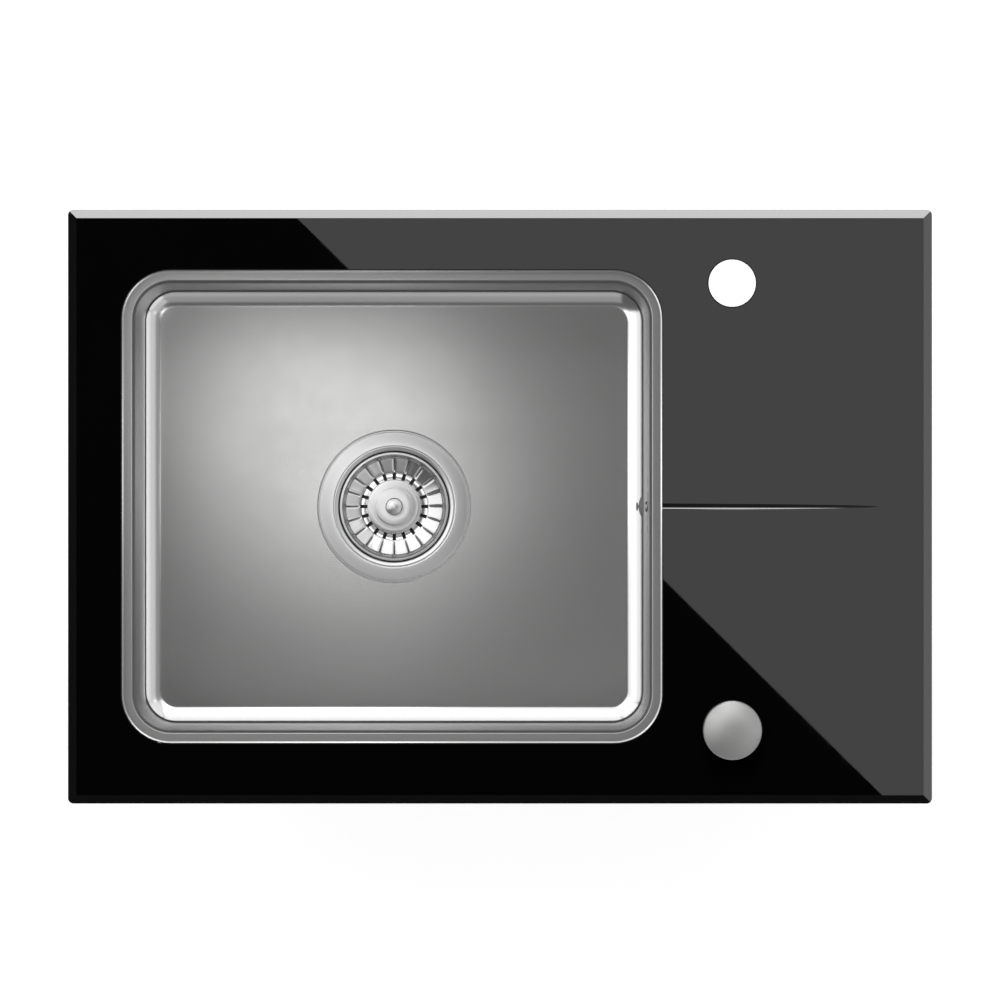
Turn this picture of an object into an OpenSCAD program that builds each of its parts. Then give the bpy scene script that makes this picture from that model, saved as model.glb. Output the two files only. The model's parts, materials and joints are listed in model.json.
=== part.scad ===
// Inset kitchen sink: a bevelled glass deck with a pressed steel bowl bonded under it, a basket
// strainer that a turning knob opens through a cable, an overflow, and clamps for the worktop.
// Millimetres. +X is to the right, +Y to the rear and +Z up. z = 0 is the top of the worktop,
// on which the seal under the glass rests, and x = y = 0 is the middle of the glass.

/* [Glass deck] */
// Length of the glass, left to right
plate_w = 640; // [600:1:700]
// Depth of the glass, front to back
plate_d = 440; // [410:1:500]
// Thickness of the glass
plate_t = 8; // [6:0.5:10]
// Radius of the outer corners
plate_corner_r = 4; // [2:0.5:10]
// Width of the ground bevel, seen from above
bevel_w = 6.3; // [4:0.1:8]
// Height of the ground bevel
bevel_h = 3; // [2:0.1:4]
// Width of the polished arris on the inner edges
arris = 0.8; // [0.4:0.1:1.2]
// Radius of the two deck holes, for a tap and for the strainer's knob
deck_hole_r = 17.5; // [17.5:0.1:18]
// Glass right of the bowl's cut-out
deck_w = 200; // [190:1:220]
// Distance of the deck holes from the cut-out
deck_hole_side = 52; // [50:1:58]
// Distance of each deck hole from the edge behind or before it
deck_hole_edge = 54.5; // [54:0.5:60]
// Length of the drain groove, from the bowl to where it runs out
groove_len = 160; // [120:1:170]
// Radius of the drain groove's cutter
groove_r = 2.6; // [2.2:0.1:3.5]
// Depth of the drain groove at the bowl
groove_depth = 1.5; // [1:0.1:2]

/* [Bowl] */
// Glass left of the bowl's cut-out
bowl_margin = 40; // [38:0.5:44]
// Glass behind and before the cut-out
bowl_edge = 45; // [42:0.5:50]
// Corner radius of the cut-out
bowl_corner_r = 36; // [32:1:50]
// Depth of the bowl below the top of the glass
bowl_depth = 180; // [160:1:200]
// Thickness of the bowl's sheet
sheet_t = 1; // [0.8:0.1:1.2]
// Ledge of the bowl that shows inside the cut-out
ledge_w = 6.5; // [5:0.5:8]
// Radius of the bend from the ledge into the wall
bend_r = 3; // [2:0.5:4]
// Lean of the walls in degrees
wall_draft = 1.8; // [1:0.1:2.6]
// Radius between the walls and the floor
floor_r = 11.5; // [9:0.5:14]
// Fall of the floor to the drain
floor_fall = 2; // [1:0.5:4]
// Width of the flange under the glass
flange_w = 14; // [10:0.5:14.5]

/* [Seals and fixing rails] */
// Thickness of the seal between glass and worktop
seal_t = 2; // [1.5:0.1:3]
// Glass that stands out past the seal
seal_inset = 1.5; // [1:0.5:2]
// Thickness of the bond between glass and bowl
bond_t = 1; // [0.6:0.1:1.4]
// Thickness of the rails' adhesive
adhesive_t = 0.5; // [0.3:0.1:0.8]
// Width of the fixing rails
rail_w = 12; // [11:0.5:12]
// Depth of the rails' lip below the worktop's top
rail_h = 14; // [13:0.5:20]
// Thickness of the rails' sheet
rail_t = 1.5; // [1:0.1:1.5]
// Gap between the rails and the bowl's flange
rail_gap = 2; // [1.5:0.5:4]
// Distance of the rails' ends from the edge of the glass
rail_end = 40; // [34:1:60]

/* [Worktop clamps] */
// Distance between the two clamps on a long side
clip_span = 400; // [300:5:440]
// Width of a clamp's bracket
clip_w = 20; // [18:1:30]
// Thickness of the bracket's sheet
clip_t = 1.5; // [1.2:0.1:1.5]
// Depth of the bracket's foot below the worktop's top
clip_drop = 24; // [22:1:30]
// Radius of the clamp screw
clip_screw_r = 2.5; // [2:0.5:3]
// Length of the clamp screw above its head
clip_screw_len = 50; // [48:1:60]
// Travel of the clamp screw
clamp_travel = 20; // [14:1:20]
// Reach of the claw from its screw
claw_reach = 34; // [30:1:40]
// Height of the claw's step
claw_rise = 22; // [16:1:22]
// Width of the claw
claw_w = 16; // [14:1:20]
// Thickness of the claw's strip
claw_t = 2; // [1.5:0.1:2.5]

/* [Strainer] */
// Radius of the hole in the bowl's floor
drain_hole_r = 45; // [45:0.5:48]
// Depth of the recess round that hole
recess_depth = 2.5; // [2:0.5:4]
// Outer radius of the strainer's flange
strainer_r = 56.5; // [55:0.5:60]
// Thickness of the strainer's sheet
cup_t = 0.8; // [0.6:0.1:1]
// Thickness of the gasket under the strainer's flange
gasket_t = 1; // [0.6:0.1:1.4]
// Depth of the strainer cup
cup_depth = 29; // [29:1:36]
// Height of the cup's wall above its seat
seat_drop = 15.5; // [15.5:0.5:17]
// Height of the conical seat
seat_h = 8; // [7:0.5:8.5]
// Radius of the cup below the seat
cup_low_r = 36; // [34:0.5:36]
// Outer radius of the basket
basket_r = 41.2; // [40:0.2:41.8]
// Radius of the basket's floor
basket_floor_r = 24; // [23:0.5:26]
// Depth of the basket
basket_depth = 16.5; // [14:0.5:17]
// Thickness of the basket's sheet
basket_t = 0.8; // [0.6:0.1:1]
// Number of slots in the basket
slot_count = 20; // [12:1:24]
// Width of each slot
slot_w = 2.6; // [2:0.1:3]
// Radius of the raised cone in the basket, at its foot
hub_foot_r = 20.5; // [19:0.5:21]
// Radius of the cone's flat top
hub_top_r = 14; // [12:0.5:15]
// Height of the cone
hub_h = 7; // [5:0.5:8]
// Radius of the ball knob
ball_r = 6.6; // [5.5:0.1:7.5]
// Radius of the basket's stem and of the lifting pin
pin_r = 3.9; // [3:0.1:4]
// Radius of the hollow screw's shank
hollow_screw_r = 6; // [5.8:0.1:6.6]

/* [Waste] */
// Thickness of the gasket under the bowl
waste_gasket_t = 2; // [1.5:0.1:3]
// Outer radius of the waste body's rim
waste_rim_r = 55; // [53:0.5:58]
// Wall of the waste body
waste_wall = 3; // [2.5:0.1:3.2]
// Radius of the outlet's bore
outlet_bore_r = 20; // [18:0.5:21]
// Outer radius of the outlet
outlet_r = 23.9; // [23.2:0.1:24.5]
// Length of the outlet below the body
outlet_len = 20; // [16:1:30]
// Lift of the basket
basket_lift = 9.7; // [8:0.1:9.8]
// Radius from the lever's shaft to its fingertip
lever_arm = 12; // [12:0.1:12.4]
// Radius from the lever's shaft to the cable's pin
crank_arm = 14; // [13.5:0.1:14.5]
// Radius of the lever's shaft
lever_shaft_r = 3.5; // [3:0.1:3.6]
// Width of the lever's cover
cover_w = 34; // [33:1:40]

/* [Knob] */
// Radius of the knob
knob_r = 22.2; // [21.8:0.1:25]
// Height of the knob's top above the glass
knob_h = 20; // [18:0.5:26]
// Wall of the knob
knob_wall = 1.2; // [1:0.1:1.2]
// Radius of the threaded body in the deck hole
housing_r = 16.9; // [16.6:0.1:17]
// Length of the body below the glass
housing_len = 38; // [36:1:46]
// Radius of the knob's domed top
crown_r = 48; // [36:1:200]
// Turn of the knob in degrees
knob_turn = 90; // [80:1:100]

/* [Overflow] */
// Depth of the overflow holes below the ledge
overflow_drop = 34; // [26:1:50]
// Radius of each overflow hole
overflow_hole_r = 3.7; // [3:0.1:4]
// Distance of the inner holes from the middle
overflow_near = 8; // [7.5:0.1:8.5]
// Distance of the outer holes from the middle
overflow_far = 17.5; // [16.5:0.1:18]
// Thickness of the overflow's gasket
overflow_gasket_t = 2; // [1:0.1:3]
// Depth of the overflow head
head_depth = 27; // [26.5:0.5:34]
// Bore radius of the overflow pipe
hose_bore_r = 10; // [8.5:0.5:10]
// Outer radius of the pipe's plain ends
hose_r = 12.5; // [12.2:0.1:12.8]
// Height of the pipe's ribs
rib_h = 1.2; // [0.8:0.1:2]
// Spacing of the ribs
rib_pitch = 4; // [3:0.5:6]
// Radius of the pipe's bend
hose_bend_r = 55; // [50:1:60]

/* [Hidden] */
$fn = 96;
over = 1;
fit_gap = 0.3;
run_gap = 0.05;
// Degrees by which the wall's upper bend runs into the wall
arc_lap = 0.02;
// Width by which the parts of the bowl's floor run into each other
floor_lap = 1;

// Heights from the glass down to the bowl's floor
z_glass = seal_t;
z_top = z_glass + plate_t;
z_flange = z_glass - bond_t;
z_floor = z_top - bowl_depth;
z_dish = z_floor - floor_fall;
z_recess = z_dish - recess_depth;
z_under = z_recess - sheet_t;
z_rail = z_glass - adhesive_t;

// Rails and seal, out from the bowl's flange
rail_inset = min(bowl_margin, bowl_edge) - flange_w - rail_gap - rail_w;
seal_gap = 2.5;
seal_w = rail_inset - seal_inset - seal_gap;

// Size and place of the cut-out, and the rectangle of its corner centres
bowl_w = plate_w - bowl_margin - deck_w;
bowl_d = plate_d - 2 * bowl_edge;
bowl_x = -plate_w / 2 + bowl_margin + bowl_w / 2;
core_a = bowl_w / 2 - bowl_corner_r;
core_b = bowl_d / 2 - bowl_corner_r;
groove_end_x = bowl_x + bowl_w / 2 + groove_len;
hole_x = plate_w / 2 - deck_w + deck_hole_side;
hole_y = plate_d / 2 - deck_hole_edge;

// The bowl's wall, as distances out from the corner centres
ledge_s = bowl_corner_r - ledge_w;
bend_z = z_flange - bend_r;
wall_top = [ledge_s - bend_r * cos(wall_draft), bend_z + bend_r * sin(wall_draft)];
fillet_z = z_floor + floor_r;
wall_foot_z = fillet_z - floor_r * sin(wall_draft);
wall_foot_s = wall_top[0] - (wall_top[1] - wall_foot_z) * tan(wall_draft);
fillet_s = wall_foot_s - floor_r * cos(wall_draft);
dish_margin = 3;
dish_r = core_b - dish_margin;
recess_r = strainer_r + 2.5;
recess_slope = 2;
function wall_s(z) = wall_top[0] - (wall_top[1] - z) * tan(wall_draft);
function dish_z(r) = z_floor - floor_fall * (dish_r - r) / (dish_r - recess_r - recess_slope);

// Clamps: the edge each is on, counted from the rear one anticlockwise, and its side of the middle
clip_places = [[0, 1], [0, -1], [1, 0], [2, 1], [2, -1], [3, 0]];
clip_top_gap = 2;
tab_w = 10;
tab_top = -6;
tab_hook = 6;
boss_r = 4.5;
boss_h = 4;
screw_u = rail_t + clip_t + boss_r;
screw_top = -clamp_travel - clip_top_gap;
screw_seat = screw_top - clip_screw_len;
screw_head_h = 4;
collar_h = 1;

// Strainer heights and radii
cup_gap = 0.6;
cup_out_r = drain_hole_r - cup_gap;
cup_in_r = cup_out_r - cup_t;
cup_bend_r = 3.2;
lip_r = 1.6;
z_cup_top = z_recess + gasket_t + cup_t;
z_seat = z_cup_top - seat_drop;
z_seat_low = z_seat - seat_h;
z_cup_floor = z_cup_top - cup_depth;
z_cup_under = z_cup_floor - cup_t;
seat_slope = (cup_in_r - cup_low_r) / seat_h;
basket_sink = 0.8;
rim_w = 2.6;
z_basket = z_cup_top - basket_sink;
z_basket_floor = z_basket - basket_depth;
z_basket_under = z_basket_floor - basket_t;
wall_r = basket_r - rim_w;
stopper_gap = 3;
stopper_t = 1.6;
stopper_hub_r = 9;
z_stopper = z_basket_under - stopper_gap;
seal_grip = 2;
stopper_seal_t = 1;
screw_head_r = 9;
screw_cap_h = 3;
hollow_len = 10.5;
meet_depth = 4;
z_meet = z_cup_floor - meet_depth;
bore_r = pin_r + 0.08;

// Waste body and lever
z_rim = z_under - waste_gasket_t;
rim_t = 5;
chamber_r = cup_out_r + 2.2;
z_cone = z_cup_under - 7;
cone_h = 27.5;
z_outlet = z_cone - cone_h;
hub_r = 9.5;
hub_len = 10;
inlet_reach = 75;
z_inlet = z_rim - rim_t - hose_r - 0.8;
tip_r = 3;
finger_t = 2.4;
finger_w = 6;
lever_swing = asin(basket_lift / 2 / lever_arm) * 1.006;
z_pin_foot = z_cup_under - hub_len - 1.5 - basket_lift;
lever_x = lever_arm * (1 + cos(lever_swing)) / 2;
lever_z = z_pin_foot - fit_gap - tip_r + lever_arm * sin(lever_swing);
crank_pull = 2 * crank_arm * sin(lever_swing);
crank_pin_r = 1.5;
boss_out_r = 8;
plate_gap_t = 2;
cover_front = chamber_r + waste_wall + plate_gap_t + 0.4;
cover_wall = 1.6;
cover_deep = 14;
cover_low = 10;
cover_high = 24;
wire_r = 0.9;
wire_y = -cover_front - 7;
wire_z = lever_z + crank_arm * (1 + cos(lever_swing)) / 2;
cover_side = lever_x + cover_w / 2;

// Knob heights
knob_gasket_t = 0.8;
housing_flange_r = 20.5;
housing_flange_t = 1.8;
z_knob_low = z_top + 1.4;
z_knob_top = z_top + knob_h;
z_spindle_top = z_knob_top - 5;
z_housing = z_glass - housing_len;
z_collar = z_top - 4;
housing_bore_r = 14;
spindle_r = 4;
cam_r = 9;
slider_h = 9;
slider_z = z_housing + 7;
slide_travel = crank_pull;
wire_seat_r = 11.5;
cap_t = 4;
ferrule_r = 4.5;
sheath_r = 3;
sheath_bore_r = 1.6;
socket_h = 6;
socket_deep = 5;
nut_h = 10;
washer_t = 2;

// Overflow heights
z_overflow = z_flange - overflow_drop;
overflow_x = bowl_x + core_a + wall_s(z_overflow);
head_w = 54;
head_h = 30;
head_wall = 2;
spout_x = overflow_x + sheet_t + overflow_gasket_t + head_depth / 2 + 0.5;
spout_len = 20;
z_spout = z_overflow - head_h / 2 - spout_len;

// Route of the cable's sheath: the first and last runs are straight, the rest is chosen by hand
cable_start = [bowl_x + cover_side + 2.5, wire_y, wire_z];
cable_end = [hole_x + wire_seat_r, -hole_y, z_housing - cap_t - socket_h + socket_deep];
cable_route = [
    cable_start, cable_start + [16, 0, 0], cable_start + [32, 0, 0],
    [25, -60, -209], [70, -65, -205], [110, -77, -194], [143, -99, -172], [166, -128, -140],
    [179, -151, -104], cable_end - [0, 0, 32], cable_end - [0, 0, 16], cable_end];
cable_steps = 4;

// One point of the smooth curve through the route, at t from 0 to 1 after point i
function curve_point(p, i, t) =
    let (a = p[max(i - 1, 0)], b = p[i], c = p[i + 1], d = p[min(i + 2, len(p) - 1)])
    0.5 * (2 * b + (c - a) * t + (2 * a - 5 * b + 4 * c - d) * t * t + (3 * b - a - 3 * c + d) * t * t * t);
function curve(p, steps) = [
    for (i = [0 : len(p) - 2], k = [0 : steps - 1]) curve_point(p, i, k / steps), p[len(p) - 1]];

// Direction of a path at its point i, and one ring of points round it
function unit(v) = v / norm(v);
function heading(p, i) = unit(p[min(i + 1, len(p) - 1)] - p[max(i - 1, 0)]);
function ring(centre, dir, r, sides) =
    let (side = unit(cross(dir, [0, 1, 0])), up = cross(side, dir))
    [for (k = [0 : sides - 1]) centre + r * (side * cos(360 * k / sides) + up * sin(360 * k / sides))];

// A tube along a path: outer radii and inner radii per point, closed by flat rings at its ends
module tube(path, outer, inner, sides) {
    n = len(path);
    points = concat(
        [for (i = [0 : n - 1]) each ring(path[i], heading(path, i), outer[i], sides)],
        [for (i = [0 : n - 1]) each ring(path[i], heading(path, i), inner[i], sides)]);
    base = n * sides;
    outside = [for (i = [0 : n - 2], k = [0 : sides - 1]) let (j = (k + 1) % sides)
        each [[i * sides + k, i * sides + j, (i + 1) * sides + j],
              [i * sides + k, (i + 1) * sides + j, (i + 1) * sides + k]]];
    inside = [for (i = [0 : n - 2], k = [0 : sides - 1]) let (j = (k + 1) % sides)
        each [[base + i * sides + j, base + i * sides + k, base + (i + 1) * sides + j],
              [base + (i + 1) * sides + j, base + i * sides + k, base + (i + 1) * sides + k]]];
    last = (n - 1) * sides;
    ends = [for (k = [0 : sides - 1]) let (j = (k + 1) % sides)
        each [[j, k, base + k], [j, base + k, base + j],
              [last + k, last + j, base + last + j], [last + k, base + last + j, base + last + k]]];
    polyhedron(points, concat(outside, inside, ends));
}

// A rod along a path, closed by flat ends
module rod(path, r, sides) {
    n = len(path);
    points = [for (i = [0 : n - 1]) each ring(path[i], heading(path, i), r, sides)];
    walls = [for (i = [0 : n - 2], k = [0 : sides - 1]) let (j = (k + 1) % sides)
        each [[i * sides + k, i * sides + j, (i + 1) * sides + j],
              [i * sides + k, (i + 1) * sides + j, (i + 1) * sides + k]]];
    last = (n - 1) * sides;
    ends = [for (k = [1 : sides - 2]) each [[0, k + 1, k], [last, last + k, last + k + 1]]];
    polyhedron(points, concat(walls, ends));
}

// A centred rectangle with round corners
module rounded_rect(w, d, r) {
    square([w - 2 * r, d], center = true);
    for (s = [-1, 1]) {
        translate([s * (w - r) / 2, 0])
            square([r, d - 2 * r], center = true);
        for (t = [-1, 1])
            translate([s * (w / 2 - r), t * (d / 2 - r)])
                corner_disc(r, s, t);
    }
}

// A quarter of a disc, on the side that the signs give
module corner_disc(r, s, t) {
    intersection() {
        circle(r);
        translate([s > 0 ? 0 : -r - over, t > 0 ? 0 : -r - over])
            square(r + over);
    }
}

// The part of a ring between two angles less than half a turn apart
module arc_band(centre, r_in, r_out, from, to) {
    far = 3 * r_out;
    mid = (from + to) / 2;
    translate(centre)
        intersection() {
            difference() {
                circle(r_out);
                circle(r_in);
            }
            polygon([[0, 0], far * [cos(from), sin(from)], far * [cos(mid), sin(mid)],
                far * [cos(to), sin(to)]]);
        }
}

// Carries a profile (x = distance out, y = height) round a rectangle of half sizes a and b
module carried_round(a, b) {
    for (s = [0, 1])
        mirror([s, 0, 0]) {
            translate([a, b, 0])
                rotate([90, 0, 0])
                    linear_extrude(2 * b)
                        children();
            for (t = [0, 1])
                mirror([0, t, 0])
                    translate([a, b, 0])
                        rotate_extrude(angle = 90)
                            children();
        }
    for (t = [0, 1])
        mirror([0, t, 0])
            translate([-a, b, 0])
                rotate([90, 0, 90])
                    linear_extrude(2 * a)
                        children();
}

// A ring with a square section
module washer(r_in, r_out, h) {
    difference() {
        cylinder(h = h, r = r_out);
        translate([0, 0, -over])
            cylinder(h = h + 2 * over, r = r_in);
    }
}

// Glass deck

module plate_bevels() {
    for (q = [0 : 3]) {
        half = q % 2 == 0 ? plate_w / 2 : plate_d / 2;
        run = q % 2 == 0 ? plate_d : plate_w;
        rotate([0, 0, 90 * q])
            translate([half, run / 2 + over, z_top])
                rotate([90, 0, 0])
                    linear_extrude(run + 2 * over)
                        polygon([[-bevel_w, 0], [over, -bevel_h * (1 + over / bevel_w)],
                            [over, over], [-bevel_w, over]]);
    }
}

module bowl_cutout() {
    carried_round(core_a, core_b)
        polygon([[0, z_glass - over], [bowl_corner_r, z_glass - over], [bowl_corner_r, z_top - arris],
            [bowl_corner_r + arris + over, z_top + over], [0, z_top + over]]);
    translate([-core_a, -core_b, z_glass - over])
        cube([2 * core_a, 2 * core_b, plate_t + 2 * over]);
}

module deck_hole() {
    translate([0, 0, z_glass - over])
        cylinder(h = plate_t + 2 * over, r = deck_hole_r);
    translate([0, 0, z_top - arris])
        cylinder(h = arris + over, r1 = deck_hole_r, r2 = deck_hole_r + arris + over);
}

// A round-nosed groove that rises until it leaves the glass
module drain_groove() {
    tilt = atan(groove_depth / groove_len);
    lead = 10;
    translate([groove_end_x, 0, z_top + groove_r / cos(tilt)])
        rotate([0, -90 - tilt, 0])
            translate([0, 0, -lead])
                cylinder(h = groove_len + 2 * lead, r = groove_r);
}

module glass_top() {
    color([0.03, 0.03, 0.035])
        difference() {
            translate([0, 0, z_glass])
                linear_extrude(plate_t)
                    rounded_rect(plate_w, plate_d, plate_corner_r);
            plate_bevels();
            translate([bowl_x, 0, 0])
                bowl_cutout();
            for (s = [-1, 1])
                translate([hole_x, s * hole_y, 0])
                    deck_hole();
            drain_groove();
        }
}

module worktop_seal() {
    inner_r = 2;
    color("dimgray")
        linear_extrude(seal_t)
            difference() {
                rounded_rect(plate_w - 2 * seal_inset, plate_d - 2 * seal_inset, seal_w + inner_r);
                rounded_rect(plate_w - 2 * seal_inset - 2 * seal_w,
                    plate_d - 2 * seal_inset - 2 * seal_w, inner_r);
            }
}

// Bowl

module bowl_section() {
    c = cos(wall_draft);
    s = sin(wall_draft);
    translate([ledge_s, z_flange - sheet_t])
        square([bowl_corner_r + flange_w - ledge_s, sheet_t]);
    arc_band([ledge_s, bend_z], bend_r - sheet_t, bend_r, 90, 180 - wall_draft + arc_lap);
    polygon([wall_top, [wall_foot_s, wall_foot_z],
        [fillet_s + (floor_r + sheet_t) * c, fillet_z - (floor_r + sheet_t) * s],
        [ledge_s - (bend_r - sheet_t) * c, bend_z + (bend_r - sheet_t) * s]]);
    arc_band([fillet_s, fillet_z], floor_r, floor_r + sheet_t, -90, -wall_draft);
    translate([0, z_floor - sheet_t])
        square([fillet_s, sheet_t]);
}

module bowl_floor() {
    difference() {
        translate([-core_a - floor_lap, -core_b - floor_lap, z_floor - sheet_t])
            cube([2 * core_a + 2 * floor_lap, 2 * core_b + 2 * floor_lap, sheet_t]);
        translate([0, 0, z_floor - sheet_t - over])
            cylinder(h = sheet_t + 2 * over, r = dish_r);
    }
    rotate_extrude()
        polygon([[dish_r + floor_lap, z_floor], [dish_r, z_floor], [recess_r + recess_slope, z_dish],
            [recess_r, z_recess], [drain_hole_r, z_recess], [drain_hole_r, z_under], [recess_r, z_under],
            [recess_r + recess_slope, z_dish - sheet_t], [dish_r, z_floor - sheet_t],
            [dish_r + floor_lap, z_floor - sheet_t]]);
}

// Turns its children so that z runs out of the right wall and x down it, at the overflow
module at_overflow() {
    translate([overflow_x, 0, z_overflow])
        rotate([0, 90 + wall_draft, 0])
            children();
}

module overflow_holes() {
    for (s = [-1, 1], y = [overflow_near, overflow_far])
        translate([0, s * y, -over])
            cylinder(h = sheet_t + 2 * over, r = overflow_hole_r);
}

overflow_screw_r = 2.4;

module bowl() {
    color("silver")
        difference() {
            translate([bowl_x, 0, 0]) {
                carried_round(core_a, core_b)
                    bowl_section();
                bowl_floor();
            }
            at_overflow() {
                overflow_holes();
                translate([0, 0, -over])
                    cylinder(h = sheet_t + 2 * over, r = overflow_screw_r + fit_gap);
            }
        }
}

module bowl_bond() {
    set_back = 0.5;
    outer_gap = 2;
    color("black")
        translate([bowl_x, 0, 0])
            carried_round(core_a, core_b)
                translate([bowl_corner_r + set_back, z_flange])
                    square([flange_w - set_back - outer_gap, bond_t]);
}

module sound_pad() {
    pad_t = 2;
    pad_inset = 12;
    pad_edge = 6;
    inner_r = recess_r + pad_inset;
    outer_r = dish_r - pad_edge;
    low = sheet_t;
    color("dimgray")
        translate([bowl_x, 0, 0])
            rotate_extrude()
                polygon([[inner_r, dish_z(inner_r) - low], [outer_r, dish_z(outer_r) - low],
                    [outer_r, dish_z(outer_r) - low - pad_t], [inner_r, dish_z(inner_r) - low - pad_t]]);
}

// Fixing rails and clamps

// Puts its children at an edge of the deck: y runs out from the rail's inner side, x along it
module at_edge(q) {
    half = q % 2 == 0 ? plate_d / 2 : plate_w / 2;
    rotate([0, 0, 90 * q])
        translate([0, half - rail_inset - rail_w, 0])
            children();
}

module at_clip(i) {
    at_edge(clip_places[i][0])
        translate([clip_places[i][1] * clip_span / 2, 0, 0])
            children();
}

function rail_run(q) = (q % 2 == 0 ? plate_w : plate_d) - 2 * rail_end;

module rail(run) {
    translate([-run / 2, 0, 0])
        rotate([90, 0, 90])
            linear_extrude(run)
                polygon([[0, -rail_h], [rail_t, -rail_h], [rail_t, z_rail - rail_t],
                    [rail_w, z_rail - rail_t], [rail_w, z_rail], [0, z_rail]]);
}

module fixing_rails() {
    slot_gap = 0.4;
    color("silver")
        difference() {
            for (q = [0 : 3])
                at_edge(q)
                    rail(rail_run(q));
            for (i = [0 : len(clip_places) - 1])
                at_clip(i)
                    translate([-tab_w / 2 - slot_gap, -over, tab_top - clip_t])
                        cube([tab_w + 2 * slot_gap, rail_t + 2 * over, clip_t + slot_gap]);
        }
}

module rail_adhesive() {
    color("black")
        for (q = [0 : 3])
            at_edge(q)
                translate([-rail_run(q) / 2, 0, z_rail])
                    cube([rail_run(q), rail_w, adhesive_t]);
}

// A folded bracket that hooks through the rail's slot and carries the screw in its foot
module clip_bracket() {
    back_gap = 2;
    difference() {
        union() {
            translate([-clip_w / 2, rail_t, -clip_drop])
                cube([clip_w, clip_t, clip_drop - back_gap]);
            translate([-tab_w / 2, -clip_t, tab_top - clip_t])
                cube([tab_w, rail_t + 2 * clip_t, clip_t]);
            translate([-tab_w / 2, -clip_t, tab_top - tab_hook])
                cube([tab_w, clip_t, tab_hook]);
            translate([-clip_w / 2, rail_t, -clip_drop])
                cube([clip_w, rail_w - rail_t, clip_t]);
            translate([0, screw_u, -clip_drop - boss_h])
                cylinder(h = boss_h + clip_t, r = boss_r);
        }
        translate([0, screw_u, -clip_drop - boss_h - over])
            cylinder(h = boss_h + clip_t + 2 * over, r = clip_screw_r + run_gap);
    }
}

module clip_brackets() {
    color("gainsboro")
        for (i = [0 : len(clip_places) - 1])
            at_clip(i)
                clip_bracket();
}

module clip_screw() {
    slot_d = 1.2;
    collar_gap = 0.2;
    color("lightgray")
        translate([0, screw_u, screw_seat])
            difference() {
                union() {
                    cylinder(h = clip_screw_len, r = clip_screw_r);
                    translate([0, 0, -screw_head_h])
                        cylinder(h = screw_head_h, r = boss_r);
                    translate([0, 0, claw_t + collar_gap])
                        cylinder(h = collar_h, r = boss_r - over / 2);
                }
                translate([-boss_r - over, -slot_d / 2, -screw_head_h - over])
                    cube([2 * (boss_r + over), slot_d, over + 1.8]);
            }
}

// A stepped claw that swings on the screw's head and bites under the worktop
module clip_claw() {
    step = 10;
    tooth = 3;
    rib_t = 2;
    color("gainsboro")
        translate([0, screw_u, screw_seat])
            difference() {
                union() {
                    cylinder(h = claw_t, r = claw_w / 2);
                    translate([0, claw_w / 2, 0])
                        rotate([90, 0, 0])
                            linear_extrude(claw_w)
                                polygon([[0, 0], [step + claw_t, 0], [step + claw_t, claw_rise - claw_t],
                                    [claw_reach, claw_rise - claw_t], [claw_reach, claw_rise + tooth],
                                    [claw_reach - claw_t / 2, claw_rise + tooth],
                                    [claw_reach - claw_t, claw_rise], [step, claw_rise],
                                    [step, claw_t], [0, claw_t]]);
                    translate([0, rib_t / 2, 0])
                        rotate([90, 0, 0])
                            linear_extrude(rib_t)
                                polygon([[step + claw_t, claw_rise / 3], [claw_reach - tooth, claw_rise - claw_t],
                                    [step + claw_t, claw_rise - claw_t]]);
                }
                translate([0, 0, -over])
                    cylinder(h = claw_t + 2 * over, r = clip_screw_r + 2 * run_gap);
            }
}

// Strainer

module at_drain() {
    translate([bowl_x, 0, 0])
        children();
}

module strainer_gasket() {
    color("black")
        at_drain()
            translate([0, 0, z_recess])
                washer(cup_in_r + cup_bend_r + 0.2, strainer_r - lip_r - 0.4, gasket_t);
}

module cup_section() {
    bend_c = cup_in_r + cup_bend_r;
    low_wall = 0.8;
    translate([bend_c, z_cup_top - cup_t])
        square([strainer_r - lip_r - bend_c, cup_t]);
    arc_band([strainer_r - lip_r, z_cup_top - lip_r], lip_r - cup_t, lip_r, 0, 90);
    arc_band([bend_c, z_cup_top - cup_bend_r], cup_bend_r - cup_t, cup_bend_r, 90, 180);
    polygon([[cup_out_r, z_cup_top - cup_bend_r], [cup_in_r, z_cup_top - cup_bend_r],
        [cup_in_r, z_seat], [cup_low_r, z_seat_low], [cup_low_r, z_cup_floor], [0, z_cup_floor],
        [0, z_cup_under], [cup_low_r + low_wall, z_cup_under],
        [cup_low_r + low_wall, z_seat_low - low_wall / 2], [cup_out_r, z_seat]]);
}

module strainer_cup() {
    holes = 8;
    hole_r = 6.4;
    color("silver")
        at_drain()
            difference() {
                rotate_extrude()
                    cup_section();
                translate([0, 0, z_cup_under - over])
                    cylinder(h = cup_t + 2 * over, r = hollow_screw_r + 0.2);
                for (k = [0 : holes - 1])
                    rotate([0, 0, (k + 0.5) * 360 / holes])
                        translate([(screw_head_r + cup_low_r) / 2, 0, z_cup_under - over])
                            cylinder(h = cup_t + 2 * over, r = hole_r);
            }
}

// The x shift of a sheet's far side at a corner, for a wall that rises by rise over run
function fold(run, rise, t) = t * tan(atan2(rise, run) / 2);

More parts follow.
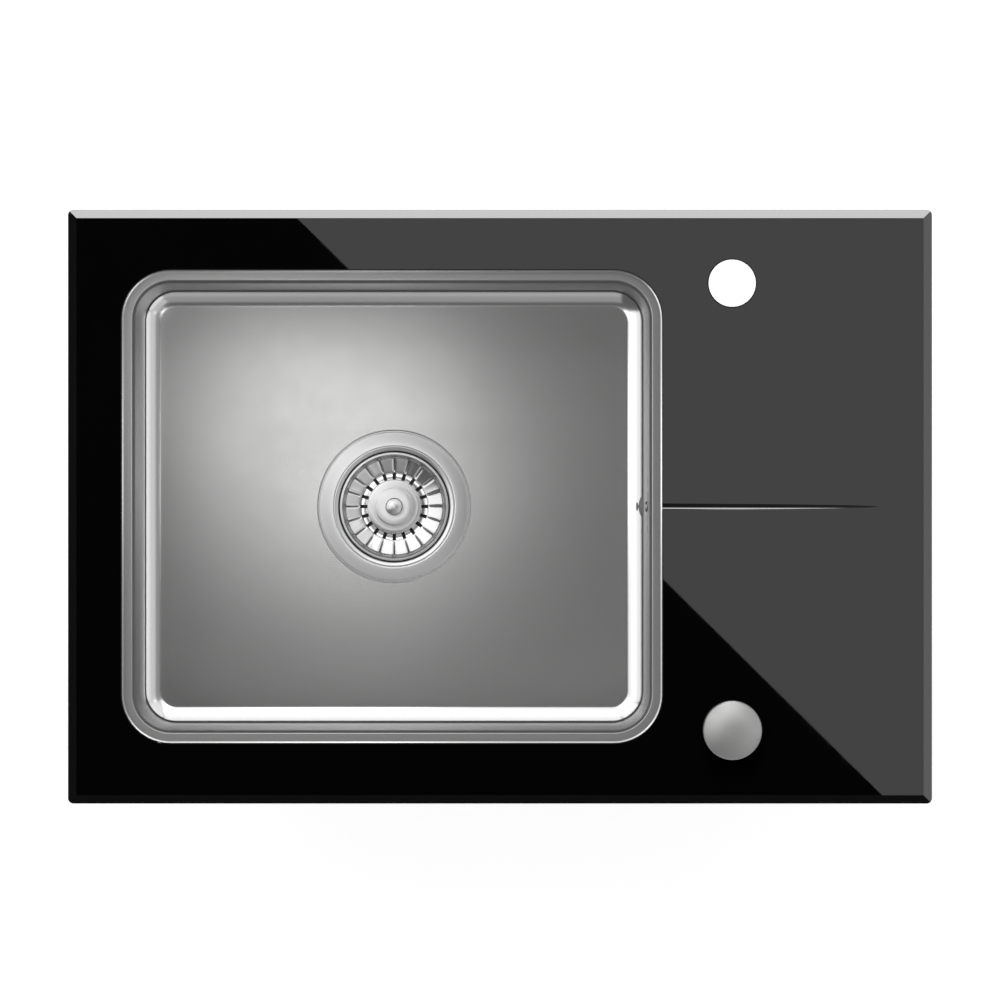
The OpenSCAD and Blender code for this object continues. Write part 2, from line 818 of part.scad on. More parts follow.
module basket() {
    k_wall = fold(wall_r - basket_floor_r, basket_depth, basket_t);
    k_hub = fold(hub_foot_r - hub_top_r, hub_h, basket_t);
    z_hub = z_basket_floor + hub_h;
    slot_in = hub_foot_r + 0.8;
    slot_out = wall_r - 2.6;
    color("silver")
        at_drain()
            difference() {
                rotate_extrude()
                    polygon([[pin_r + run_gap, z_hub], [hub_top_r, z_hub], [hub_foot_r, z_basket_floor],
                        [basket_floor_r, z_basket_floor], [wall_r, z_basket], [basket_r, z_basket],
                        [basket_r, z_basket - basket_t], [wall_r + k_wall, z_basket - basket_t],
                        [basket_floor_r + k_wall, z_basket_under], [hub_foot_r - k_hub, z_basket_under],
                        [hub_top_r - k_hub, z_hub - basket_t], [pin_r + run_gap, z_hub - basket_t]]);
                for (k = [0 : slot_count - 1])
                    rotate([0, 0, 360 * k / slot_count])
                        translate([slot_in, -slot_w / 2, z_basket_under - over])
                            cube([slot_out - slot_in, slot_w, basket_depth + basket_t + over / 2]);
            }
}

// The ball knob and the stem, turned from one bar
module basket_knob() {
    z_hub = z_basket_floor + hub_h;
    neck_r = pin_r + 0.6;
    flat = ball_r * 0.3;
    color("silver")
        at_drain() {
            translate([0, 0, z_meet])
                cylinder(h = z_hub - z_meet, r = pin_r);
            translate([0, 0, z_hub])
                cylinder(h = ball_r, r = neck_r);
            intersection() {
                translate([0, 0, z_hub + ball_r])
                    sphere(ball_r);
                translate([-ball_r - over, -ball_r - over, z_hub + flat])
                    cube([2 * (ball_r + over), 2 * (ball_r + over), 2 * ball_r]);
            }
        }
}

function seat_r(z) = cup_low_r + (z - z_seat_low) * seat_slope;
stopper_r = seat_r(z_stopper - stopper_t) - 3;

module stopper_plate() {
    color("dimgray")
        at_drain()
            difference() {
                union() {
                    translate([0, 0, z_stopper - stopper_t])
                        cylinder(h = stopper_t, r = stopper_r);
                    translate([0, 0, z_stopper - stopper_t])
                        cylinder(h = stopper_t + stopper_gap, r = stopper_hub_r);
                }
                translate([0, 0, z_stopper - stopper_t - over])
                    cylinder(h = stopper_t + stopper_gap + 2 * over, r = pin_r + run_gap);
            }
}

// The rubber ring that grips the stopper's rim and meets the cup's conical seat
module stopper_seal() {
    z_high = z_stopper + stopper_seal_t;
    z_low = z_stopper - stopper_t - stopper_seal_t;
    seat_gap = fit_gap * sqrt(1 + seat_slope * seat_slope) + 0.1;
    color([0.1, 0.1, 0.1])
        at_drain()
            difference() {
                rotate_extrude()
                    polygon([[stopper_r - seal_grip, z_low], [seat_r(z_low) - seat_gap, z_low],
                        [seat_r(z_high) - seat_gap, z_high], [stopper_r - seal_grip, z_high]]);
                translate([0, 0, z_stopper - stopper_t])
                    cylinder(h = stopper_t, r = stopper_r);
            }
}

module hollow_screw() {
    slot_d = 2;
    color("silver")
        at_drain()
            difference() {
                union() {
                    translate([0, 0, z_cup_floor])
                        cylinder(h = screw_cap_h, r = screw_head_r);
                    translate([0, 0, z_cup_under - hollow_len])
                        cylinder(h = hollow_len + cup_t, r = hollow_screw_r);
                }
                translate([0, 0, z_cup_under - hollow_len - over])
                    cylinder(h = hollow_len + cup_t + screw_cap_h + 2 * over, r = bore_r);
                translate([-screw_head_r - over, -slot_d / 2, z_cup_floor + screw_cap_h - 1.2])
                    cube([2 * (screw_head_r + over), slot_d, 1.2 + over]);
            }
}

module lift_pin() {
    cone_h = 4;
    color("lightgray")
        at_drain() {
            translate([0, 0, z_pin_foot + cone_h])
                cylinder(h = z_meet - z_pin_foot - cone_h, r = pin_r);
            translate([0, 0, z_pin_foot])
                cylinder(h = cone_h, r1 = pin_r - 2.4, r2 = pin_r);
        }
}

// Waste

module waste_gasket() {
    color("black")
        at_drain()
            translate([0, 0, z_rim])
                washer(drain_hole_r + 0.6, waste_rim_r - 1, waste_gasket_t);
}

// Outline of the body with a wall of a thickness, down to the outlet's tail
module waste_outside(wall) {
    chamber = chamber_r + wall;
    polygon([[0, z_rim], [chamber, z_rim], [chamber, z_cone], [outlet_r, z_outlet], [0, z_outlet]]);
}

// Outline of the body inside, past both of its open ends
module waste_inside() {
    polygon([[0, z_rim + over], [chamber_r, z_rim + over], [chamber_r, z_cone], [outlet_bore_r, z_outlet],
        [outlet_bore_r, z_outlet - over], [0, z_outlet - over]]);
}

module waste_solid() {
    rotate_extrude()
        waste_outside(waste_wall);
    translate([0, 0, z_rim - rim_t])
        cylinder(h = rim_t, r = waste_rim_r);
    translate([0, 0, z_inlet])
        rotate([0, 90, 0])
            cylinder(h = inlet_reach, r = hose_r);
    translate([lever_x, -cover_front + plate_gap_t, lever_z])
        rotate([-90, 0, 0])
            cylinder(h = cover_front - outlet_bore_r, r = boss_out_r);
    translate([0, -cover_front, 0])
        cover_outline(0, plate_gap_t);
}

// The rounded outline of the lever's cover, from its back forward by a depth
module cover_outline(inset, depth) {
    wide = cover_w - 2 * inset;
    high = cover_low + cover_high - 2 * inset;
    translate([lever_x, depth, lever_z + (cover_high - cover_low) / 2])
        rotate([90, 0, 0])
            linear_extrude(depth)
                rounded_rect(wide, high, 6 - inset);
}

module waste_arms() {
    arm_t = 3;
    arm_h = 6;
    intersection() {
        for (k = [0 : 1])
            rotate([0, 0, 45 + 90 * k])
                translate([-chamber_r - over, -arm_t / 2, z_cup_under - hub_len + 0.5])
                    cube([2 * (chamber_r + over), arm_t, arm_h]);
        rotate_extrude()
            waste_outside(waste_wall / 2);
    }
    translate([0, 0, z_cup_under - hub_len])
        cylinder(h = hub_len, r = hub_r);
}

module waste_body() {
    color("whitesmoke")
        at_drain()
            difference() {
                union() {
                    difference() {
                        waste_solid();
                        rotate_extrude()
                            waste_inside();
                        translate([0, 0, z_inlet])
                            rotate([0, 90, 0])
                                cylinder(h = inlet_reach + over, r = hose_bore_r);
                    }
                    waste_arms();
                }
                translate([0, 0, z_cup_under - hub_len - over])
                    cylinder(h = hub_len + 2 * over, r = hollow_screw_r + run_gap);
                translate([lever_x, -cover_front - over, lever_z])
                    rotate([-90, 0, 0]) {
                        cylinder(h = cover_front, r = lever_shaft_r + run_gap);
                        cylinder(h = over + 3, r = lever_shaft_r + 2.5);
                    }
            }
}

// The threaded tail that the trap's nut goes on
module outlet_tail() {
    color("whitesmoke")
        at_drain()
            translate([0, 0, z_outlet - outlet_len])
                washer(outlet_bore_r, outlet_r, outlet_len);
}

module lever_seal() {
    color("black")
        at_drain()
            translate([lever_x, -cover_front, lever_z])
                rotate([-90, 0, 0])
                    washer(lever_shaft_r + fit_gap, lever_shaft_r + 2.5 - fit_gap, 3);
}

// Shaft with the lifting finger inside the body and the cable's crank outside it, both dipped at rest
module lift_lever() {
    inner_y = 6;
    crank_y = -cover_front - 1;
    crank_t = 4;
    crank_w = 5;
    color("lightgray")
        at_drain()
            translate([lever_x, 0, lever_z]) {
                translate([0, crank_y - crank_t, 0])
                    rotate([-90, 0, 0])
                        cylinder(h = inner_y - crank_y + crank_t, r = lever_shaft_r);
                rotate([0, -lever_swing, 0]) {
                    translate([-lever_arm, -finger_w / 2, -finger_t / 2])
                        cube([lever_arm, finger_w, finger_t]);
                    translate([-lever_arm, -finger_w / 2, 0])
                        rotate([-90, 0, 0])
                            cylinder(h = finger_w, r = tip_r);
                    translate([-crank_w / 2, crank_y - crank_t, 0])
                        cube([crank_w, crank_t, crank_arm]);
                    translate([0, crank_y - crank_t, crank_arm])
                        rotate([-90, 0, 0])
                            cylinder(h = crank_t, r = crank_w / 2);
                    translate([0, wire_y - 2, crank_arm])
                        rotate([-90, 0, 0])
                            cylinder(h = crank_y - crank_t - wire_y + 2 + over, r = crank_pin_r);
                }
            }
}

module lever_cover() {
    color("dimgray")
        at_drain()
            difference() {
                translate([0, -cover_front - cover_deep, 0])
                    cover_outline(0, cover_deep);
                translate([0, -cover_front - cover_deep + cover_wall, 0])
                    cover_outline(cover_wall, cover_deep + over);
                translate([cover_side - cover_wall - over, wire_y, wire_z])
                    rotate([0, 90, 0])
                        cylinder(h = cover_wall + 2 * over, r = ferrule_r - 1 + run_gap);
            }
}

// The eye that the crank's pin pulls, with the end of the wire
module wire_clevis() {
    eye_w = 6.4;
    eye_h = 8;
    eye_t = 1.7;
    reach = cover_side - lever_x + crank_arm * sin(lever_swing) + 16;
    color("silver")
        at_drain()
            translate([lever_x - crank_arm * sin(lever_swing), wire_y, wire_z]) {
                translate([0, eye_t / 2, 0])
                    rotate([90, 0, 0])
                        linear_extrude(eye_t)
                            difference() {
                                square([eye_w, eye_h], center = true);
                                square([2 * crank_pin_r + 0.3, 2 * crank_pin_r + 1.8], center = true);
                            }
                translate([eye_w / 2 - 0.2, 0, 0])
                    rotate([0, 90, 0])
                        cylinder(h = reach - eye_w / 2, r = wire_r);
            }
}

// Cable

module cable_ferrule() {
    color("silver")
        at_drain()
            translate([cover_side - cover_wall, wire_y, wire_z])
                rotate([0, 90, 0])
                    difference() {
                        union() {
                            cylinder(h = cover_wall + over, r = ferrule_r - 1);
                            translate([0, 0, cover_wall])
                                cylinder(h = 8, r = ferrule_r);
                        }
                        translate([0, 0, -over])
                            cylinder(h = 12, r = wire_r + fit_gap);
                        translate([0, 0, cover_wall + 2.5])
                            cylinder(h = 8, r = sheath_r + run_gap);
                    }
}

module cable_sheath() {
    path = curve(cable_route, cable_steps);
    color("dimgray")
        tube(path, [for (p = path) sheath_r], [for (p = path) sheath_bore_r], 8);
}

// The wire between its two moving ends, inside the sheath
module cable_core() {
    full = curve(cable_route, cable_steps);
    path = [for (i = [2 * cable_steps : len(full) - 1 - 2 * cable_steps]) full[i]];
    color("silver")
        rod(path, wire_r, 8);
}

// Knob

module at_knob() {
    translate([hole_x, -hole_y, 0])
        children();
}

module control_knob() {
    hub_out_r = 7;
    edge = 1;
    edge_z = z_knob_top - crown_r + sqrt(crown_r * crown_r - (knob_r - edge) * (knob_r - edge));
    inner_top = edge_z - knob_wall - 1.2;
    color("silver")
        at_knob()
            difference() {
                intersection() {
                    rotate_extrude()
                        polygon([[0, z_knob_low], [knob_r, z_knob_low], [knob_r, edge_z - edge],
                            [knob_r - edge, edge_z], [0, edge_z + knob_r - edge]]);
                    translate([0, 0, z_knob_top - crown_r])
                        sphere(crown_r, $fn = 240);
                }
                difference() {
                    translate([0, 0, z_knob_low - over])
                        cylinder(h = inner_top - z_knob_low + over, r = knob_r - knob_wall);
                    translate([0, 0, z_top + knob_gasket_t + housing_flange_t + 0.6])
                        cylinder(h = knob_h, r = hub_out_r);
                }
                translate([0, 0, z_knob_low - over])
                    cylinder(h = z_spindle_top - z_knob_low + over, r = spindle_r + run_gap);
            }
}

module knob_gasket() {
    color("black")
        at_knob()
            translate([0, 0, z_top])
                washer(housing_r + 0.2, housing_flange_r - 0.4, knob_gasket_t);
}

module knob_housing() {
    key_w = 3.2;
    color("dimgray")
        at_knob()
            difference() {
                union() {
                    translate([0, 0, z_top + knob_gasket_t])
                        cylinder(h = housing_flange_t, r = housing_flange_r);
                    translate([0, 0, z_housing])
                        cylinder(h = z_top + knob_gasket_t - z_housing + over, r = housing_r);
                }
                translate([0, 0, z_housing - over])
                    cylinder(h = z_collar - z_housing + over, r = housing_bore_r);
                translate([0, 0, z_collar - over])
                    cylinder(h = z_top - z_collar + knob_gasket_t + housing_flange_t + 2 * over, r = spindle_r + run_gap);
                translate([-housing_bore_r - 1.4, -key_w / 2, z_housing - over])
                    cube([housing_bore_r, key_w, z_collar - z_housing + over]);
            }
}

module knob_washer() {
    color("black")
        at_knob()
            translate([0, 0, z_glass - washer_t])
                washer(housing_r + 0.2, housing_r + 7, washer_t);
}

module knob_backnut() {
    color("dimgray")
        at_knob()
            translate([0, 0, z_glass - washer_t - nut_h])
                difference() {
                    cylinder(h = nut_h, r = housing_r + 8, $fn = 6);
                    translate([0, 0, -over])
                        cylinder(h = nut_h + 2 * over, r = housing_r + 0.1);
                }
}

cam_foot = z_housing + 5;
pin_deep = 2.5;

// Spindle with a cam: a helical groove that lifts the slider as the knob turns
module knob_spindle() {
    steps = 16;
    groove_r = 1.7;
    color("lightgray")
        at_knob() {
            translate([0, 0, cam_foot - 4.5])
                cylinder(h = z_spindle_top - cam_foot + 4.5, r = spindle_r);
            difference() {
                translate([0, 0, cam_foot])
                    cylinder(h = z_collar - 0.5 - cam_foot, r = cam_r);
                for (k = [0 : steps])
                    rotate([0, 0, -knob_turn * k / steps])
                        translate([cam_r - pin_deep, 0, slider_z + slider_h / 2 + slide_travel * k / steps])
                            rotate([0, 90, 0])
                                cylinder(h = pin_deep + over, r = groove_r);
            }
        }
}

// The ring that rides on the cam, keyed to the housing, with the wire's other end
module cable_slider() {
    key_w = 2.6;
    color("whitesmoke")
        at_knob() {
            difference() {
                union() {
                    translate([0, 0, slider_z])
                        cylinder(h = slider_h, r = housing_bore_r - fit_gap);
                    translate([-housing_bore_r - 1.1, -key_w / 2, slider_z])
                        cube([5, key_w, slider_h]);
                }
                translate([0, 0, slider_z - over])
                    cylinder(h = slider_h + 2 * over, r = cam_r + fit_gap);
            }
            translate([cam_r - pin_deep + fit_gap, 0, slider_z + slider_h / 2])
                rotate([0, 90, 0])
                    cylinder(h = pin_deep + 1, r = 1.4);
            translate([wire_seat_r, 0, z_housing - cap_t - 15])
                cylinder(h = slider_z - z_housing + cap_t + 15 + over, r = wire_r);
        }
}

module knob_end_cap() {
    plug_h = 3;
    color("dimgray")
        at_knob()
            difference() {
                union() {
                    translate([0, 0, z_housing - cap_t])
                        cylinder(h = cap_t, r = housing_r);
                    translate([0, 0, z_housing])
                        cylinder(h = plug_h, r = housing_bore_r - run_gap);
                    translate([wire_seat_r, 0, z_housing - cap_t - socket_h])
                        cylinder(h = socket_h + over, r = ferrule_r);
                }
                translate([0, 0, cam_foot - 5])
                    cylinder(h = 10, r = spindle_r + run_gap);
                translate([wire_seat_r, 0, z_housing - cap_t - socket_h - over])
                    cylinder(h = cap_t + socket_h + plug_h + 2 * over, r = wire_r + fit_gap);
                translate([wire_seat_r, 0, z_housing - cap_t - socket_h - over])
                    cylinder(h = socket_deep + over, r = sheath_r + run_gap);
            }
}

// Overflow

module overflow_screw() {
    head_h = 1.6;
    head_r = 4.5;
    color("silver")
        at_overflow()
            difference() {
                union() {
                    translate([0, 0, -head_h])
                        cylinder(h = head_h, r1 = head_r - 1, r2 = head_r);
                    cylinder(h = sheet_t + overflow_gasket_t + head_depth - 5, r = overflow_screw_r);
                }
                for (a = [0, 90])
                    rotate([0, 0, a])
                        translate([-2.2, -0.5, -head_h - over])
                            cube([4.4, 1, over + 1.1]);
            }
}

module overflow_gasket() {
    land = 4;
    color("black")
        at_overflow()
            translate([0, 0, sheet_t])
                linear_extrude(overflow_gasket_t)
                    difference() {
                        rounded_rect(head_h, head_w, 6);
                        rounded_rect(head_h - 2 * land, head_w - 2 * land, 3);
                    }
}

module overflow_head() {
    back = sheet_t + overflow_gasket_t;
    screw_boss_r = 5;
    color("dimgray")
        difference() {
            union() {
                difference() {
                    union() {
                        at_overflow()
                            translate([0, 0, back])
                                linear_extrude(head_depth)
                                    rounded_rect(head_h, head_w, 6);
                        translate([spout_x, 0, z_spout])
                            cylinder(h = z_overflow - z_spout - head_h / 2 + 6, r = hose_r);
                    }
                    at_overflow()
                        translate([0, 0, back - over])
                            linear_extrude(head_depth - head_wall + over)
                                rounded_rect(head_h - 2 * head_wall, head_w - 2 * head_wall, 4);
                    translate([spout_x, 0, z_spout - over])
                        cylinder(h = z_overflow - z_spout - head_h / 2 + 6, r = hose_bore_r);
                }
                at_overflow()
                    translate([0, 0, back + 3])
                        cylinder(h = head_depth - 3 - head_wall / 2, r = screw_boss_r);
            }
            at_overflow()
                cylinder(h = back + head_depth - 4, r = overflow_screw_r + run_gap);
        }
}

// The pipe's path: down from the head, round the bend and in to the waste body
hose_drop = z_spout - z_inlet - hose_bend_r;
hose_arc = hose_bend_r * 3.14159265 / 2;
hose_in = spout_x - hose_bend_r - bowl_x - inlet_reach;
hose_total = hose_drop + hose_arc + hose_in;
function hose_point(s) =
    s < hose_drop ? [spout_x, 0, z_spout - s]
    : s < hose_drop + hose_arc ?
        let (a = (s - hose_drop) / hose_arc * 90)
        [spout_x - hose_bend_r * (1 - cos(a)), 0, z_inlet + hose_bend_r * (1 - sin(a))]
    : [spout_x - hose_bend_r - (s - hose_drop - hose_arc), 0, z_inlet];

module overflow_hose() {
    cuff = 2 * hose_r;
    ribs = floor((hose_total - 2 * cuff) / rib_pitch);
    pitch = (hose_total - 2 * cuff) / ribs;
    stations = concat([0], [for (k = [0 : ribs - 1]) each [cuff + k * pitch, cuff + (k + 0.5) * pitch]],
        [hose_total - cuff, hose_total]);
    last = len(stations) - 1;
    path = [for (s = stations) hose_point(s)];
    outer = [for (i = [0 : last]) hose_r + (i > 0 && i < last - 1 && i % 2 == 0 ? rib_h : 0)];
    color("gainsboro")
        tube(path, outer, [for (i = [0 : last]) hose_bore_r], 8);
}

module hose_collars() {
    collar_len = 14;
    collar_wall = 2.4;
    color("dimgray") {
        translate([spout_x, 0, z_spout - collar_len / 2])
            washer(hose_r + 0.1, hose_r + 0.1 + collar_wall, collar_len);
        translate([bowl_x + inlet_reach - collar_len / 2, 0, z_inlet])
            rotate([0, 90, 0])
                washer(hose_r + 0.1, hose_r + 0.1 + collar_wall, collar_len);
    }
}

glass_top();
worktop_seal();
bowl();
bowl_bond();
rail_adhesive();
fixing_rails();
clip_brackets();
at_clip(0) clip_screw();  // clip_screw_1
at_clip(1) clip_screw();  // clip_screw_2
at_clip(2) clip_screw();  // clip_screw_3
at_clip(3) clip_screw();  // clip_screw_4
at_clip(4) clip_screw();  // clip_screw_5
at_clip(5) clip_screw();  // clip_screw_6
at_clip(0) clip_claw();  // clip_claw_1
at_clip(1) clip_claw();  // clip_claw_2
at_clip(2) clip_claw();  // clip_claw_3
at_clip(3) clip_claw();  // clip_claw_4
at_clip(4) clip_claw();  // clip_claw_5
at_clip(5) clip_claw();  // clip_claw_6
sound_pad();
strainer_gasket();
strainer_cup();
waste_gasket();
waste_body();
outlet_tail();
hollow_screw();
basket();
basket_knob();
stopper_plate();
stopper_seal();
lift_pin();
lift_lever();
lever_seal();
lever_cover();
wire_clevis();
cable_ferrule();
cable_sheath();
cable_core();
control_knob();
knob_gasket();
knob_housing();
knob_washer();
knob_backnut();
knob_spindle();
cable_slider();
knob_end_cap();
overflow_screw();
overflow_gasket();
overflow_head();
overflow_hose();
hose_collars();
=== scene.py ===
"""Looks of an inset kitchen sink: a black glass deck over a steel bowl with a basket strainer.

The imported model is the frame. Surfaces that the photograph shows closely are rebuilt here as
smooth grids that stand for their nodes, and every other node keeps its own mesh and gets a finish.
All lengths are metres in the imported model's frame, with z = 0 at the top of the worktop.
"""

from __future__ import annotations

import json
import logging
from dataclasses import dataclass
from enum import Enum

import bmesh
import bpy
import numpy as np
from bpy.types import Material, Mesh, Node, NodeTree, Object
from bpy.types import NodeSocket as Socket
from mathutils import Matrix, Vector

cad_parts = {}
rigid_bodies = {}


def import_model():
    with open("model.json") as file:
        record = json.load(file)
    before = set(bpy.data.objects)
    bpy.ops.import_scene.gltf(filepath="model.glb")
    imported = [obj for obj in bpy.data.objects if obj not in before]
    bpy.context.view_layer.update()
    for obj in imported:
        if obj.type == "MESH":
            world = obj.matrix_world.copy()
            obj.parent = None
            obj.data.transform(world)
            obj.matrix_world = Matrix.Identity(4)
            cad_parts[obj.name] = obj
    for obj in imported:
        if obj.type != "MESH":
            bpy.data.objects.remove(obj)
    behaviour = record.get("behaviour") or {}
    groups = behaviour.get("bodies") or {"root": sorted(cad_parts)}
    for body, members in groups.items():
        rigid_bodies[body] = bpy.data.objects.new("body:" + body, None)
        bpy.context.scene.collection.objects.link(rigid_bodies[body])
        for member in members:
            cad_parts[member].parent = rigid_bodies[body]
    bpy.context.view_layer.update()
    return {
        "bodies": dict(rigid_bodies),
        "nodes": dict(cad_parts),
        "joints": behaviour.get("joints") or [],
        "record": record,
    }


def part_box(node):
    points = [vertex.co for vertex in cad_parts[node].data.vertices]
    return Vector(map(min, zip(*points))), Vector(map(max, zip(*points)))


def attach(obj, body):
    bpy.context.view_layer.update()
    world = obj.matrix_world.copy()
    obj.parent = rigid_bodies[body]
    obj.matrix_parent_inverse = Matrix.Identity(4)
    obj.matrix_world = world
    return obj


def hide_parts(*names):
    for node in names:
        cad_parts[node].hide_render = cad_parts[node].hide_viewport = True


LOG = logging.getLogger("sink")
TAU = 2.0 * np.pi
Pair = tuple[float, float]
Point = tuple[float, float, float]
Surface = tuple[np.ndarray, np.ndarray]


class Slot(Enum):
    """The record's material slots."""

    GLASS = "glass"
    BOWL = "bowl_steel"
    STRAINER = "strainer_steel"
    KNOB = "knob_steel"
    ZINC = "zinc"
    SCREW = "screw_zinc"
    FOAM = "seal_foam"
    RUBBER = "black_rubber"
    BOND = "black_bond"
    PAD = "pad"
    WHITE = "white_plastic"
    GREY = "grey_plastic"
    DARK = "dark_plastic"
    ACETAL = "acetal"
    SHEATH = "sheath"


# ---- node graphs and shared effects


class Graph:
    """A thin layer over a node tree that adds, sets and links nodes."""

    def __init__(self, tree: NodeTree) -> None:
        """Keeps the node tree that is built."""
        self.tree = tree

    def node(self, kind: str, attributes: dict[str, object] | None = None, **inputs: object) -> Node:
        """Adds a node and sets its inputs, named with _ for a space, or i and a number for their place.

        Args:
            kind: the node's bl_idname, without ShaderNode where it starts with that.
            attributes: what else is set on it, by name.
            **inputs: a number, colour or output socket for each input.

        Returns:
            The new node.
        """
        made = self.tree.nodes.new(kind if kind.startswith("NodeGroup") else "ShaderNode" + kind)
        for key, value in (attributes or {}).items():
            setattr(made, key, value)
        for key, value in inputs.items():
            numbered = key[0] == "i" and key[1:].isdigit()
            socket = made.inputs[int(key[1:]) if numbered else key.replace("_", " ")]
            if isinstance(value, Socket):
                self.link(value, socket)
            else:
                socket.default_value = value
        return made

    def out(self, kind: str, attributes: dict[str, object] | None = None, **inputs: object) -> Socket:
        """Adds a node as node does and returns its first output."""
        return self.node(kind, attributes, **inputs).outputs[0]

    def link(self, source: Socket, target: Socket) -> None:
        """Links an output to an input."""
        self.tree.links.new(source, target)

    def group(self, tree: NodeTree, **inputs: object) -> tuple[Socket, ...]:
        """Places a shader node group, sets its inputs and returns its outputs."""
        return tuple(self.node("Group", {"node_tree": tree}, **inputs).outputs)

    def math(self, operation: str, a: object, b: object = 0.0, c: object = 0.0) -> Socket:
        """Adds a Math node and returns its result socket."""
        return self.out("Math", {"operation": operation}, i0=a, i1=b, i2=c)

    def noise(self, where: Socket, scale: object, detail: float, rough: float = 0.5) -> Socket:
        """Adds a Noise Texture and returns its factor socket."""
        return self.out("TexNoise", Vector=where, Scale=scale, Detail=detail, Roughness=rough)

    def remap(self, value: object, low: float, high: float, start: float = 0.0, end: float = 1.0) -> Socket:
        """Maps value from low..high to start..end, clamped, and returns the result socket."""
        return self.out("MapRange", Value=value, From_Min=low, From_Max=high, To_Min=start, To_Max=end)

    def place(self) -> Socket:
        """Returns the Object coordinates."""
        return self.node("TexCoord").outputs["Object"]

    def camera_ray(self) -> Socket:
        """Returns the socket that is 1 for the camera's own rays."""
        return self.node("LightPath").outputs["Is Camera Ray"]


def fresh_material(name: str) -> tuple[Material, Graph]:
    """Makes an empty material and returns it with its graph."""
    made = bpy.data.materials.new(name)
    made.use_nodes = True
    made.node_tree.nodes.clear()
    return made, Graph(made.node_tree)


def effect(name: str, inputs: dict[str, object], *outputs: str) -> tuple[Graph, dict, dict]:
    """Starts a shader node group with named inputs and with outputs that are numbers.

    Args:
        name: the group's name.
        inputs: each input's default by its name; it is a vector unless the default is a number.
        *outputs: the outputs' names.

    Returns:
        The group's graph, its input sockets by name, and the sockets that its outputs take.
    """
    tree = bpy.data.node_groups.new(name, "ShaderNodeTree")
    for label, default in inputs.items():
        kind = "NodeSocketFloat" if isinstance(default, float) else "NodeSocketVector"
        made = tree.interface.new_socket(label, in_out="INPUT", socket_type=kind)
        if default is not None:
            made.default_value = default
    for label in outputs:
        tree.interface.new_socket(label, in_out="OUTPUT", socket_type="NodeSocketFloat")
    graph = Graph(tree)
    source, sink = graph.node("NodeGroupInput"), graph.node("NodeGroupOutput")
    return graph, {s.name: s for s in source.outputs}, {s.name: s for s in sink.inputs}


class Effects:
    """The shared effects: fine scratches, moulded grain, the marks of handling, and two masks."""

    def __init__(self) -> None:
        """Builds each group once."""
        self.scratches = self._scratches()
        self.grain = self._grain()
        self.handling = self._handling()
        self.under = self._under()
        self.band = self._band()

    def _scratches(self) -> NodeTree:
        """Noise drawn out along one axis by the scale vector: two sizes of it, one on the other."""
        inputs = {"Vector": None, "Scale": (40.0, 4000.0, 4000.0)}
        g, i, o = effect("fine_scratches", inputs, "Height", "Variation")
        drawn = g.out("VectorMath", {"operation": "MULTIPLY"}, i0=i["Vector"], i1=i["Scale"])
        fine = g.math("MULTIPLY", g.noise(drawn, 1.0, 3.0, 0.6), 0.5)
        total = g.math("MULTIPLY_ADD", g.noise(drawn, 0.13, 2.0), 0.5, fine)
        g.link(total, o["Height"])
        g.link(g.remap(total, 0.35, 0.65), o["Variation"])
        return g.tree

    def _grain(self) -> NodeTree:
        """Cells and noise of one size, as a spark-eroded mould leaves on plastic or rubber."""
        g, i, o = effect("moulded_grain", {"Vector": None, "Size": 900.0}, "Height", "Pits")
        noise = g.noise(i["Vector"], i["Size"], 4.0, 0.55)
        cells = g.out("TexVoronoi", Vector=i["Vector"], Scale=g.math("MULTIPLY", i["Size"], 0.6))
        g.link(g.math("ADD", noise, g.math("MULTIPLY", cells, 0.6)), o["Height"])
        g.link(g.remap(noise, 0.42, 0.7), o["Pits"])
        return g.tree

    def _handling(self) -> NodeTree:
        """Large soft patches broken by small ones: where a surface was wiped, dried or touched."""
        g, i, o = effect("handling_marks", {"Vector": None, "Size": 9.0}, "Mask")
        large = g.noise(i["Vector"], i["Size"], 5.0, 0.62)
        small = g.noise(i["Vector"], g.math("MULTIPLY", i["Size"], 17.0), 2.0)
        g.link(g.remap(g.math("MULTIPLY_ADD", small, 0.25, large), 0.5, 0.82), o["Mask"])
        return g.tree

    def _under(self) -> NodeTree:
        """A mask of the faces that look down, or outward from a wall that leans."""
        g, _, o = effect("looks_down", {}, "Mask")
        facing = g.node("SeparateXYZ", Vector=g.node("NewGeometry").outputs["Normal"])
        g.link(g.remap(facing.outputs[2], -0.01, 0.005, 1.0, 0.0), o["Mask"])
        return g.tree

    def _band(self) -> NodeTree:
        """A mask between two heights on faces that look up: it rises over 0.15 mm and falls over 0.5 mm."""
        g, i, o = effect("height_band", {"Vector": None, "Low": 0.0, "High": 1.0}, "Mask")
        height = g.node("SeparateXYZ", Vector=i["Vector"]).outputs[2]
        rise = g.remap(g.math("SUBTRACT", height, i["Low"]), 0.0, 0.00015)
        fall = g.remap(g.math("SUBTRACT", height, i["High"]), 0.0, 0.0005, 1.0, 0.0)
        upward = g.math("SUBTRACT", 1.0, g.group(self.under)[0])
        g.link(g.math("MULTIPLY", g.math("MULTIPLY", rise, fall), upward), o["Mask"])
        return g.tree


# ---- finishes


class Pattern(Enum):
    """How a finish's fine relief runs."""

    ALONG_X = "along_x"
    ROUND = "round"
    MOULDED = "moulded"
    CELLS = "cells"
    QUILTED = "quilted"


